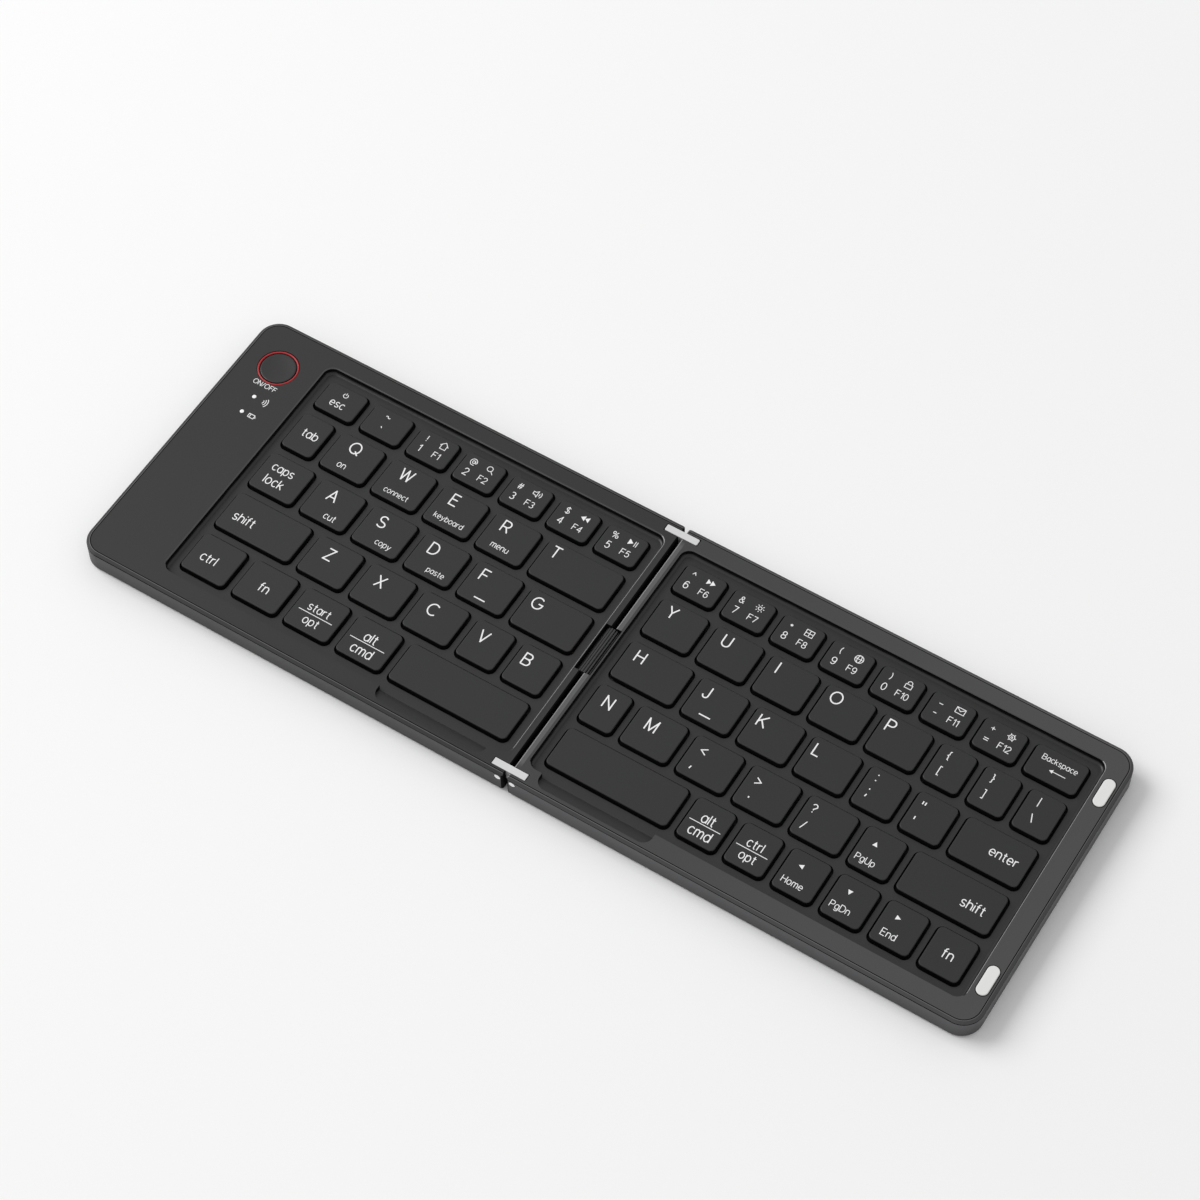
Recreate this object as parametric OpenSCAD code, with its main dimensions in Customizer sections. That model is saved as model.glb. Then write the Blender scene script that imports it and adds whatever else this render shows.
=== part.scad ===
// Folding keyboard, open and flat. Two halves that both carry keys turn on a pair of short link bars
// and close face to face. X runs along the keyboard, Y to the back, Z up from the table.

/* [Body] */
// Length of one half, from its outer end to the hinge gap
half_l = 145.35; // [138:0.05:160]
// Depth of the keyboard from front to back
body_w = 97.8; // [94:0.1:112]
// Height of a half without its feet
case_h = 7.2; // [7:0.1:9]
// Radius of the outer corners seen from above
corner_r = 6.5; // [3:0.5:8]
// Radius of the corners at the hinge gap seen from above
gap_corner_r = 0.8; // [0.4:0.1:1]
// Gap between the halves when they lie open
half_gap = 1.3; // [1:0.1:2]
// Bevel on the top edges along the hinge gap
gap_bevel = 0.35; // [0.3:0.05:0.5]
// How far the feet stand out below the case
foot_h = 0.8; // [0.4:0.1:1.5]

/* [Shells] */
// Side wall of the lower case
wall = 1.2; // [1:0.1:1.5]
// Floor of the lower case
floor_t = 1.1; // [1:0.1:1.4]
// Edge of the top cover that lies on the side wall
flange_t = 0.8; // [0.5:0.05:0.8]
// Key grid, the plate between the keys
web_t = 0.8; // [0.6:0.1:1]
// How far the key grid reaches under the rim
grid_lap = 0.5; // [0.3:0.05:0.5]
// Top of the button panel
panel_t = 1; // [0.8:0.1:1.3]
// Clearance between the cover and the case wall
fit_c = 0.15; // [0.1:0.05:0.3]
// Height of the shadow line where the cover meets the case
line_h = 0.2; // [0.1:0.05:0.25]
// Depth of that shadow line
line_d = 0.3; // [0.1:0.05:0.4]
// Width of the slope round the outer edge of the top cover
slope_w = 1; // [0.4:0.1:1.2]
// Height of that slope
slope_h = 0.5; // [0.1:0.05:0.5]
// Distance of the face line from the top of the slope
face_line_in = 0.05; // [0:0.05:0.8]
// Width of the face line
face_line_w = 0.25; // [0.15:0.05:0.4]

/* [Key well] */
// Depth of the well below the rim
well_depth = 2; // [1.6:0.1:2.4]
// Corner radius of the well
well_r = 3; // [1.5:0.5:4]
// Rim in front of the well
rim_front = 6.6; // [6.4:0.1:8]
// Rim behind the well
rim_back = 6.3; // [6.2:0.1:8]
// Rim between the well and the hinge gap
rim_hinge = 2.4; // [2.2:0.1:4]
// Rim at the right end
rim_end = 7; // [6.6:0.1:9]
// Width of the button panel at the left end
panel_w = 25.1; // [24:0.1:30]
// Space between the well wall and the outer keys, along X
margin_x = 3.5; // [2:0.1:5]
// Space between the well wall and the outer keys, along Y
margin_y = 3.65; // [2:0.05:5]
// Length of the thumb scoops in front of the space bars
scoop_l = 36.35; // [20:0.05:40]
// Start of the left scoop, from the middle of the keyboard
scoop_left = 9.3; // [8:0.1:12]
// Start of the right scoop, from the middle of the keyboard
scoop_right = 8.2; // [8:0.1:12]
// How far the scoops run into the front rim
scoop_w = 4.3; // [3:0.1:5]

/* [Keys] */
// Width of a letter key
letter_w = 15.1; // [13:0.1:16.5]
// Depth of the function keys
fn_d = 10.4; // [10.2:0.1:12]
// Gap between keys side by side
gap_x = 3; // [2.4:0.1:3.6]
// Gap between the rows
gap_y = 3.3; // [2.4:0.1:3.6]
// Width of the keys left of the left space bar
modifier_w = 14.9; // [12:0.1:16]
// Width of the arrow keys and their neighbours
arrow_w = 12; // [10.6:0.1:13]
// Width of the narrow keys, tab and the first of the lower right row
narrow_w = 10.5; // [10.4:0.1:13]
// Width of the punctuation keys beside enter
punctuation_w = 12.1; // [10.6:0.1:13]
// Width of the left shift key
shift_w = 25.8; // [20:0.1:28]
// Width of the enter key
enter_w = 21.3; // [16:0.1:24]
// Width of the backspace key
backspace_w = 16; // [13:0.1:18]
// Corner radius of a key
key_r = 1.5; // [0.8:0.1:2]
// Key tops below the rim
key_sink = 0.65; // [0.4:0.05:1]
// How far a key travels
key_travel = 1.2; // [0.8:0.1:1.3]
// Top of a keycap
cap_t = 0.8; // [0.6:0.1:1]
// Side wall of a keycap
cap_wall = 0.8; // [0.6:0.1:0.9]
// How far a cap's wall reaches into its opening
cap_lap = 0.5; // [0.3:0.1:0.8]
// Clearance round a key in the web
key_c = 0.65; // [0.4:0.05:0.8]
// Radius of the stem under a cap
stem_r = 1.6; // [1.2:0.1:1.7]

/* [Key switches] */
// Steel key plate
plate_t = 0.3; // [0.2:0.05:0.5]
// Contact membrane
membrane_t = 0.3; // [0.2:0.05:0.5]
// Base of the rubber dome sheet
sheet_t = 0.2; // [0.15:0.05:0.4]
// Foot radius of a rubber dome
dome_r = 2.3; // [2:0.1:2.4]
// Wall of a rubber dome
dome_wall = 0.4; // [0.3:0.05:0.6]
// Height that is left of a dome when its key is down
dome_left = 0.7; // [0.6:0.05:0.9]
// Width of a scissor frame
scissor_w = 8.4; // [8.2:0.1:8.5]
// Length of a scissor frame
scissor_l = 8.4; // [8:0.1:8.5]
// Width from which a key has two scissors
wide_key = 24; // [20:0.5:30]
// Bar of a scissor frame
scissor_bar = 0.7; // [0.5:0.05:0.8]
// Space between a scissor frame and what it bears on
scissor_c = 0.3; // [0.2:0.05:0.4]

/* [Hinge] */
// Pin axes below the top face
pivot_drop = 2; // [1.8:0.1:2.3]
// Space left between the two top faces when closed
closed_gap = 0.7; // [0.6:0.1:1.2]
// Width of a link bar
link_w = 2.2; // [1.8:0.1:2.6]
// Reach of a link bar past its pins
link_end = 3.05; // [2.4:0.05:3.3]
// How far a link bar stands above the top face
link_proud = 0.15; // [0:0.05:0.2]
// Reach of a link bar below its pins
link_under = 2; // [1.6:0.1:2.1]
// Middle of a link bar from the front or back face
link_in = 3.1; // [3:0.1:3.6]
// Clearance round a link bar
link_c = 0.15; // [0.1:0.01:0.25]
// Radius of a hinge pin
pin_r = 0.65; // [0.5:0.05:0.8]
// Radius of a hinge pin's head
pin_head_r = 0.95; // [0.85:0.05:1.1]
// Thickness of a pin's head
pin_head_t = 0.5; // [0.3:0.1:0.8]
// Running clearance of a pin in its link
pin_run_c = 0.05; // [0.03:0.01:0.08]
// Length of the cable sleeve in the middle of the hinge
sleeve_l = 16.7; // [14:0.1:20]
// Half width of the cable sleeve
sleeve_half = 2.3; // [1.8:0.1:2.35]
// Width of the flat cable
flex_w = 10; // [6:0.5:12]
// Reach of the flat cable to each side
flex_reach = 10; // [9:0.1:10.5]

/* [Button panel] */
// Button from the outer end
button_in = 12.6; // [11:0.1:13]
// Button from the back face
button_back = 15.1; // [14.2:0.1:18]
// Radius of the power button
button_r = 5.4; // [4:0.1:5.6]
// Travel of the power button
button_travel = 0.3; // [0.2:0.05:0.4]
// Outer radius of the coloured ring
ring_r = 6.4; // [6:0.1:6.8]
// Width of the coloured ring
ring_w = 0.8; // [0.5:0.1:0.8]
// Thickness of the coloured ring
ring_t = 0.6; // [0.4:0.05:0.7]
// Depth of the dish in the button
dish_depth = 0.25; // [0.1:0.05:0.4]
// Radius of an indicator lens
lens_r = 0.65; // [0.5:0.05:0.9]
// First indicator lens below the button
lens_drop = 12.4; // [10:0.1:14]
// Distance between the two lenses
lens_pitch = 6.3; // [4:0.1:8]

/* [Inside] */
// Width of the battery
battery_w = 17.4; // [14:0.1:17.6]
// Space between the battery and the main board
battery_gap = 4.7; // [2:0.1:8]
// Height of the battery
battery_h = 3.3; // [2.5:0.1:3.3]
// Width of the main board
board_w = 14; // [13:0.1:15]
// How far the main board reaches past the last indicator lens
board_past = 1.7; // [1:0.1:4]
// Thickness of the main board
board_t = 0.8; // [0.6:0.1:1]
// Height of the board above the case floor
board_lift = 0.5; // [0.3:0.1:0.6]
// Middle of the board from the outer end
board_in = 15.6; // [15:0.1:16]
// Width of the chip on the board
chip_w = 5; // [3:0.5:6]
// Height of the button's switch on the board
switch_h = 1.5; // [1.2:0.1:1.6]
// Width of the charging socket
socket_w = 8.9; // [8.6:0.1:9.2]
// Height of the charging socket
socket_h = 3.1; // [2.9:0.1:3.15]
// Length of the charging socket
socket_l = 7.4; // [6.5:0.1:8]
// Width of a closing magnet
magnet_w = 2.4; // [1.5:0.1:2.6]
// Length of a closing magnet
magnet_l = 8; // [5:0.5:10]
// Thickness of a closing magnet
magnet_t = 1.5; // [1:0.1:1.5]

/* [Pads, feet and screws] */
// Width of a closing pad
pad_w = 3.6; // [3:0.1:4]
// Length of a closing pad
pad_l = 9.7; // [8:0.1:12]
// Middle of the closing pads from the front and back faces
pad_in_y = 15.35; // [13:0.05:24]
// Closing pads from the outer end
pad_in = 3.8; // [3.6:0.1:4]
// Depth of the seat that a pad lies in
pad_seat = 0.5; // [0.3:0.1:0.7]
// How far a pad stands above the rim
pad_proud = 0.25; // [0.1:0.05:0.4]
// Width of a foot
foot_w = 6; // [4:0.5:8]
// Length of a foot
foot_l = 18; // [12:1:30]
// Depth of the seat that a foot is glued in
foot_seat = 0.3; // [0.2:0.05:0.4]
// Middle of a foot from the ends of a half
foot_in_x = 18; // [14:0.5:30]
// Middle of a foot from the front and back faces
foot_in_y = 10.9; // [9:0.1:20]
// Radius of a screw shank
screw_r = 0.6; // [0.5:0.05:0.8]
// Radius of a screw head
screw_head_r = 1.25; // [1:0.05:1.5]
// Height of a screw head
screw_head_t = 0.7; // [0.5:0.05:0.8]
// Screws from the front and back faces
screw_in = 3.8; // [3.5:0.1:4.2]
// Outer screws from the outer end
screw_end = 6; // [5:0.1:7]
// Radius of the posts that the screws go through
boss_r = 1.9; // [1.6:0.1:2]
// How far the screws go into the top cover
screw_bite = 1.5; // [1.2:0.1:1.6]

/* [Hidden] */
$fn = 48;
e = 0.01;
seat_c = 0.05;
z_case = foot_h;
z_floor = z_case + floor_t;
z_top = z_case + case_h;
z_seam = z_top - flange_t;
z_web = z_top - well_depth;
z_under = z_web - web_t;
z_key = z_top - key_sink;
z_cap_under = z_key - cap_t;
z_skirt = z_web - cap_lap;
z_plate = z_floor + plate_t;
z_membrane = z_plate + membrane_t;
z_sheet = z_membrane + sheet_t;
z_dome = z_sheet + key_travel + dome_left;
stem_l = z_cap_under - z_dome - seat_c;
z_pivot = z_top - pivot_drop;
z_panel_under = z_top - panel_t;
z_board = z_floor + board_lift;
z_board_top = z_board + board_t;
z_switch = z_board_top + switch_h;

half_w = body_w / 2;
u_hinge = half_gap / 2;
u_end = u_hinge + half_l;
u_well = u_hinge + rim_hinge;
u_field = u_well + margin_x;
y_front = -half_w + rim_front;
y_back = half_w - rim_back;
LEFT = -1;
RIGHT = 1;
function end_rim(side) = side == LEFT ? panel_w : rim_end;
function u_well_end(side) = u_end - end_rim(side);
function field_l(side) = u_well_end(side) - margin_x - u_field;

// Rows run from the back to the front, and the keys in a row from the hinge outwards. A width of 0 takes
// what its row has left, shared with the row's other such keys and cut to a hundredth of a millimetre.
LETTERS = [letter_w, letter_w, letter_w];
LEFT_ROWS = [
    [0, 0, 0, 0, 0, 0, 0],
    concat([0], LETTERS, [letter_w, narrow_w]),
    concat([0], LETTERS, [letter_w, letter_w]),
    concat([0, 0], LETTERS, [shift_w]),
    [0, modifier_w, modifier_w, modifier_w, modifier_w]
];
RIGHT_ROWS = [
    [0, 0, 0, 0, 0, 0, 0, backspace_w],
    concat(LETTERS, [letter_w, letter_w, 0, 0, 0]),
    concat([0], LETTERS, [punctuation_w, punctuation_w, enter_w]),
    concat([narrow_w], LETTERS, [letter_w, arrow_w, 0]),
    [0, arrow_w, arrow_w, arrow_w, arrow_w, arrow_w, arrow_w]
];
ROWS = [0, 1, 2, 3, 4];
row_d = (y_back - y_front - 2 * margin_y - fn_d - 4 * gap_y) / 4;
function key_d(row) = row == 0 ? fn_d : row_d;
function row_y(row) = row == 0 ? y_back - margin_y - fn_d / 2
    : row_y(row - 1) - key_d(row - 1) / 2 - gap_y - row_d / 2;
function widths(side, row) = side == LEFT ? LEFT_ROWS[row] : RIGHT_ROWS[row];
function total(list, i = 0) = i < len(list) ? list[i] + total(list, i + 1) : 0;
function zeros(list) = len([for (w = list) if (w == 0) w]);
function share(side, row) = let (list = widths(side, row))
    floor(100 * (field_l(side) - total(list) - gap_x * (len(list) - 1)) / max(1, zeros(list))) / 100;
function key_w(side, row, i) = let (w = widths(side, row)[i]) w > 0 ? w : share(side, row);
function key_start(side, row, i) = i == 0 ? u_field
    : key_start(side, row, i - 1) + key_w(side, row, i - 1) + gap_x;
function key_u(side, row, i) = key_start(side, row, i) + key_w(side, row, i) / 2;

pivot_half = pivot_drop + closed_gap / 2;
swing_r = sqrt(pow(link_end, 2) + pow(max(pivot_drop + link_proud, link_under), 2));
link_y = half_w - link_in;
slot_w = link_w + 2 * link_c;
pin_inner_y = link_y - slot_w / 2 - 1.1;
block_y = pin_inner_y - 0.25;
block_u = pivot_half + swing_r + link_c + 1.2;

post_r = gap_y / 2 - key_c - 0.2;
u_screw = [block_u + boss_r + 2.6, u_end / 2, u_end - screw_end];

flex_t = 0.2;
z_flex = z_sheet + 0.5;
tab_t = 0.55;
tab_reach = sleeve_half + 3.3;
z_tab = z_under - 0.1 - tab_t;
sleeve_c = 0.25;

u_button = u_end - button_in;
button_y = half_w - button_back;
lens_y = [button_y - lens_drop, button_y - lens_drop - lens_pitch];
u_board = u_end - board_in;
board_back = half_w - wall - 2 * fit_c;
board_front = lens_y[1] - board_past;
board_l = board_back - board_front;
battery_front = y_front + 1;
battery_l = board_front - battery_gap - battery_front;
socket_y = half_w - 0.1;
z_socket = z_floor + seat_c + socket_h / 2;
z_led = z_board_top + 0.6;
switch_w = 3.6;
z_flange = z_panel_under - 0.1;
flange_drop = 0.6;
hollow_wall = 1.5;
u_hollow = [u_end - panel_w + hollow_wall, u_end - wall - fit_c - 1];
u_pad = u_end - pad_in;
pad_y = half_w - pad_in_y;
u_foot = [foot_in_x, u_end - foot_in_x];
foot_y = half_w - foot_in_y;
screw_y = half_w - screw_in;

// Shapes that the parts share

module on_side(side) {
    mirror([side == LEFT ? 1 : 0, 0, 0]) children();
}

module slab(z0, z1) {
    translate([0, 0, z0]) linear_extrude(z1 - z0) children();
}

module rounded(w, d, r) {
    square([w - 2 * r, d], center = true);
    square([w, d - 2 * r], center = true);
    for (x = [-1, 1], y = [-1, 1])
        translate([x * (w / 2 - r), y * (d / 2 - r)]) circle(r);
}

// Plan of a half, drawn in by inset on its three outer sides and by hinge_in on its hinge side
module plan(inset = 0, hinge_in = 0, g = gap_corner_r) {
    r = corner_r - inset;
    x0 = u_hinge + hinge_in;
    x1 = u_end - inset;
    y = half_w - inset;
    translate([x0 + g, -y]) square([x1 - r - x0 - g, 2 * y]);
    translate([x0, -y + r]) square([x1 - x0, 2 * (y - r)]);
    translate([x0, -y + g]) square([2 * r, 2 * (y - g)]);
    for (s = [-1, 1]) {
        translate([x1 - r, s * (y - r)]) circle(r);
        if (g > 0) translate([x0 + g, s * (y - g)]) circle(g);
    }
}

module well_plan(side, grow = 0) {
    l = u_well_end(side) - u_well;
    d = y_back - y_front;
    translate([u_well + l / 2, (y_front + y_back) / 2])
        rounded(l + 2 * grow, d + 2 * grow, well_r + grow);
}

module at_keys(side) {
    for (row = ROWS, i = [0 : len(widths(side, row)) - 1])
        translate([key_u(side, row, i), row_y(row), 0]) {
            $key_w = key_w(side, row, i);
            $key_d = key_d(row);
            children();
        }
}

module at_links() {
    for (s = [-1, 1]) translate([0, s * link_y, 0]) children();
}

module at_screws() {
    for (u = u_screw, s = [-1, 1]) translate([u, s * screw_y, 0]) children();
}

module at_feet() {
    for (u = u_foot, s = [-1, 1]) translate([u, s * foot_y, 0]) children();
}

module at_pads() {
    for (s = [-1, 1]) translate([u_pad, s * pad_y, 0]) children();
}

// A round bar along Y, from y0 to y1
module bar_y(r, y0, y1) {
    translate([0, y1, 0]) rotate([90, 0, 0]) cylinder(r = r, h = y1 - y0);
}

// Room that a link bar sweeps as the half turns on its pin
module link_pockets() {
    at_links() translate([pivot_half, 0, z_pivot])
        bar_y(swing_r + link_c, -slot_w / 2, slot_w / 2);
}

// Seats of the hinge pins, from the front or back face inwards
module pin_holes() {
    for (s = [-1, 1]) scale([1, s, 1]) translate([pivot_half, 0, z_pivot]) {
        bar_y(pin_r + pin_run_c / 2, pin_inner_y, half_w);
        bar_y(pin_head_r + 0.1, half_w - pin_head_t - seat_c, half_w + e);
    }
}

// Shells

module lower_case(side) {
    on_side(side) difference() {
        union() {
            difference() {
                slab(z_case, z_seam) plan();
                slab(z_floor, z_seam + e) plan(wall, wall);
            }
            for (s = [-1, 1]) scale([1, s, 1])
                translate([u_hinge, block_y, z_floor - e])
                    cube([block_u - u_hinge, half_w - wall - block_y + e, z_seam - z_floor + e]);
            at_screws() slab(z_floor - e, z_under) circle(boss_r);
            if (side == LEFT) board_ribs();
        }
        translate([0, -block_y, z_under]) cube([u_hinge + wall + e, 2 * block_y, case_h]);
        translate([0, -sleeve_l / 2 - sleeve_c, z_flex - sleeve_c])
            cube([u_hinge + wall + e, sleeve_l + 2 * sleeve_c, case_h]);
        link_pockets();
        pin_holes();
        at_feet() slab(z_case - e, z_case + foot_seat)
            rounded(foot_l + 2 * seat_c, foot_w + 2 * seat_c, foot_w / 2);
        at_screws() {
            slab(z_case - e, z_under + e) circle(screw_r + 0.15);
            slab(z_case - e, z_case + screw_head_t + seat_c) circle(screw_head_r + 0.1);
        }
        if (side == LEFT) socket_opening();
    }
}

module board_ribs() {
    for (y = [board_front + 2, board_back - socket_l - 4])
        translate([u_board - board_w / 2, y, z_floor - e]) cube([board_w, 1, board_lift + e]);
}

module socket_opening() {
    translate([u_board, half_w - wall - e, z_socket]) rotate([-90, 0, 0])
        linear_extrude(wall + 2 * e) rounded(socket_w + 0.3, socket_h + 0.3, socket_h / 2);
}

module left_lower_case() {
    color("dimgray") lower_case(LEFT);
}

module right_lower_case() {
    color("dimgray") lower_case(RIGHT);
}

module top_cover(side) {
    on_side(side) difference() {
        union() {
            slab(z_seam + line_h, z_top) plan();
            slab(z_seam, z_seam + line_h) plan(line_d);
            difference() {
                slab(z_under, z_seam + e) plan(wall + fit_c);
                for (s = [-1, 1]) scale([1, s, 1]) translate([0, block_y - fit_c, z_under - e])
                    cube([block_u + fit_c, half_w, z_seam - z_under + e]);
            }
        }
        face_line();
        edge_slope();
        hinge_bevel();
        slab(z_web - e, z_top + e) well_plan(side);
        slab(z_under - e, z_web) well_plan(side, grid_lap);
        thumb_scoop(side == LEFT ? scoop_left : scoop_right);
        translate([0, -sleeve_l / 2 - sleeve_c, z_under - e])
            cube([pivot_half + 0.25, sleeve_l + 2 * sleeve_c, case_h]);
        link_pockets();
        at_screws() slab(z_under - e, z_under + screw_bite) circle(screw_r + 0.02);
        if (side == LEFT) panel_openings(); else pad_seats();
    }
}

// Thin line round the face, open at the hinge
module face_line() {
    slab(z_top - line_d, z_top + e) difference() {
        plan(slope_w + face_line_in, -e, 0);
        plan(slope_w + face_line_in + face_line_w, -2 * e, 0);
    }
}

// Slope along the three outer edges, cut by one section that runs straight and round the corners
module edge_slope() {
    out = 1;
    section = [
        [-slope_w, z_top], [out, z_top - slope_h - out * slope_h / slope_w],
        [out, z_top + out], [-slope_w, z_top + out]
    ];
    x_round = u_end - corner_r;
    y_round = half_w - corner_r;
    translate([u_end, y_round, 0]) rotate([90, 0, 0]) linear_extrude(2 * y_round) polygon(section);
    for (s = [-1, 1]) scale([1, s, 1]) {
        translate([x_round, half_w, 0]) rotate([90, 0, -90]) linear_extrude(x_round) mirror([1, 0]) polygon(section);
        intersection() {
            translate([x_round, y_round, 0]) rotate_extrude() translate([corner_r, 0]) polygon(section);
            translate([x_round, y_round, z_top - case_h]) cube([corner_r + out, corner_r + out, 2 * case_h]);
        }
    }
}

module hinge_bevel() {
    b = gap_bevel;
    rotate([90, 0, 0]) linear_extrude(body_w + 1, center = true) polygon([
        [u_hinge - b, z_top - 2 * b], [u_hinge + 2 * b, z_top + b], [u_hinge - b, z_top + b]
    ]);
}

// Dip in the front rim for the thumb: its floor climbs from the web to the rim
module thumb_scoop(start) {
    intersection() {
        translate([start, 0, 0]) rotate([90, 0, 90]) linear_extrude(scoop_l) polygon([
            [y_front - scoop_w, z_top], [y_front - scoop_w, z_top + 1],
            [y_front + 1, z_top + 1], [y_front + 1, z_web], [y_front - grid_lap, z_web]
        ]);
        slab(z_web - 1, z_top + 1) translate([start + scoop_l / 2, y_front])
            rounded(scoop_l, 2 * scoop_w, well_r);
    }
}

module panel_openings() {
    translate([u_hollow[0], y_front, z_under - e])
        cube([u_hollow[1] - u_hollow[0], y_back - y_front, z_panel_under - z_under + e]);
    translate([u_button, button_y, 0]) {
        slab(z_top - ring_t, z_top + e) circle(ring_r + seat_c);
        slab(z_panel_under - e, z_top + e) circle(ring_r - ring_w);
    }
    for (y = lens_y) translate([u_button, y, 0]) slab(z_panel_under - e, z_top + e) circle(lens_r + seat_c);
}

module pad_seats() {
    at_pads() {
        slab(z_top - pad_seat, z_top + e) rounded(pad_w + 0.2, pad_l + 0.2, pad_w / 2);
        slab(z_under - e, z_under + magnet_t + 2 * seat_c)
            square([magnet_w + 2 * seat_c, magnet_l + 2 * seat_c], center = true);
    }
}

module left_top_cover() {
    color([0.22, 0.22, 0.22]) top_cover(LEFT);
}

module right_top_cover() {
    color([0.22, 0.22, 0.22]) top_cover(RIGHT);
}

// Plate with an opening for each key, held under the rim of the well
module key_grid(side) {
    on_side(side) difference() {
        slab(z_under, z_web) well_plan(side, grid_lap - seat_c);
        at_keys(side) slab(z_under - e, z_web + e)
            rounded($key_w + 2 * key_c, $key_d + 2 * key_c, key_r + key_c);
    }
}

module left_key_grid() {
    color([0.21, 0.21, 0.21]) key_grid(LEFT);
}

module right_key_grid() {
    color([0.21, 0.21, 0.21]) key_grid(RIGHT);
}

// Key switches

module switch_layer(side, z0, z1) {
    u0 = u_hinge + wall + 0.35;
    on_side(side) slab(z0, z1) translate([u0, y_front])
        square([u_well_end(side) - u0, y_back - y_front]);
}

module left_key_plate() {
    color("silver") switch_layer(LEFT, z_floor, z_plate);
}

module right_key_plate() {
    color("silver") switch_layer(RIGHT, z_floor, z_plate);
}

module left_membrane() {
    color("lightgray") switch_layer(LEFT, z_plate, z_membrane);
}

module right_membrane() {
    color("lightgray") switch_layer(RIGHT, z_plate, z_membrane);
}

// Pillars of the dome sheet that hold up the key grid, in the gaps between the rows
module pillars(side) {
    step = 2 * letter_w;
    count = floor((field_l(side) - step / 2) / step);
    for (row = [0 : 3], i = [0 : count])
        translate([u_field + step * (i + 0.25), row_y(row) - key_d(row) / 2 - gap_y / 2, 0])
            slab(z_membrane, z_under) circle(post_r);
}

module dome_sheet(side) {
    h = z_dome - z_sheet;
    top_r = dome_r - 0.6;
    difference() {
        union() {
            switch_layer(side, z_membrane, z_sheet);
            on_side(side) pillars(side);
            on_side(side) at_keys(side) translate([0, 0, z_sheet - e])
                cylinder(r1 = dome_r, r2 = top_r, h = h + e);
        }
        on_side(side) at_keys(side) translate([0, 0, z_membrane - e])
            cylinder(r1 = dome_r - dome_wall, r2 = top_r - dome_wall, h = h + sheet_t - dome_wall);
    }
}

module left_dome_sheet() {
    color([0.13, 0.13, 0.13]) dome_sheet(LEFT);
}

module right_dome_sheet() {
    color([0.13, 0.13, 0.13]) dome_sheet(RIGHT);
}

module scissor_frame(w, l, tilt) {
    rotate([tilt, 0, 0]) difference() {
        cube([w, l, scissor_bar], center = true);
        cube([w - 2 * scissor_bar, l - 2 * scissor_bar, 1], center = true);
    }
}

module scissors(side) {
    z_mid = (z_sheet + z_cap_under) / 2;
    rise = (z_cap_under - z_sheet) / 2 - scissor_c - scissor_bar / 2;
    tilt = asin(2 * rise / scissor_l);
    on_side(side) at_keys(side) for (x = $key_w > wide_key ? [-0.3, 0.3] : [0])
        translate([x * $key_w, 0, z_mid]) {
            scissor_frame(scissor_w, scissor_l, tilt);
            scissor_frame(scissor_w - 2 * scissor_bar - 0.4, scissor_l, -tilt);
        }
}

module left_scissors() {
    color([0.14, 0.14, 0.14]) scissors(LEFT);
}

module right_scissors() {
    color([0.14, 0.14, 0.14]) scissors(RIGHT);
}

// Keycaps

module keycap(w, d) {
    difference() {
        slab(z_skirt, z_key) rounded(w, d, key_r);
        slab(z_skirt - e, z_cap_under) rounded(w - 2 * cap_wall, d - 2 * cap_wall, key_r - cap_wall / 2);
    }
    slab(z_cap_under - stem_l, z_cap_under + e) circle(stem_r);
}

module keys(side, row, first, last) {
    color([0.2, 0.2, 0.2]) on_side(side) for (i = [first : last])
        translate([key_u(side, row, i), row_y(row), 0]) keycap(key_w(side, row, i), key_d(row));
}

module left_function_keys() keys(LEFT, 0, 0, 5);
module left_upper_keys() keys(LEFT, 1, 0, 4);
module left_home_keys() keys(LEFT, 2, 0, 4);
module left_lower_keys() keys(LEFT, 3, 0, 4);
module left_modifier_keys() keys(LEFT, 4, 1, 3);
module esc_key() keys(LEFT, 0, 6, 6);
module tab_key() keys(LEFT, 1, 5, 5);
module caps_key() keys(LEFT, 2, 5, 5);
module left_shift_key() keys(LEFT, 3, 5, 5);
module ctrl_key() keys(LEFT, 4, 4, 4);
module left_space_key() keys(LEFT, 4, 0, 0);
module right_function_keys() keys(RIGHT, 0, 0, 6);
module right_upper_keys() keys(RIGHT, 1, 0, 7);
module right_home_keys() keys(RIGHT, 2, 0, 5);
module right_lower_keys() keys(RIGHT, 3, 0, 4);
module right_modifier_keys() keys(RIGHT, 4, 1, 2);
module backspace_key() keys(RIGHT, 0, 7, 7);
module enter_key() keys(RIGHT, 2, 6, 6);
module right_shift_key() keys(RIGHT, 3, 6, 6);
module fn_key() keys(RIGHT, 4, 6, 6);
module up_key() keys(RIGHT, 3, 5, 5);
module arrow_left_key() keys(RIGHT, 4, 3, 3);
module arrow_down_key() keys(RIGHT, 4, 4, 4);
module arrow_right_key() keys(RIGHT, 4, 5, 5);
module right_space_key() keys(RIGHT, 4, 0, 0);

// Hinge

module link(y) {
    l = 2 * (pivot_half + link_end);
    color("whitesmoke") translate([0, y, 0]) difference() {
        translate([-l / 2, -link_w / 2, z_pivot - link_under])
            cube([l, link_w, link_under + pivot_drop + link_proud]);
        for (x = [-1, 1]) translate([x * pivot_half, 0, z_pivot])
            bar_y(pin_r + pin_run_c, -link_w, link_w);
    }
}

module front_link() link(-link_y);
module rear_link() link(link_y);

module hinge_pins(side) {
    color("silver") on_side(side) for (s = [-1, 1]) scale([1, s, 1])
        translate([pivot_half, 0, z_pivot]) {
            bar_y(pin_r, pin_inner_y + seat_c, half_w - seat_c);
            bar_y(pin_head_r, half_w - pin_head_t, half_w - seat_c);
        }
}

module left_hinge_pins() hinge_pins(LEFT);
module right_hinge_pins() hinge_pins(RIGHT);

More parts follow.
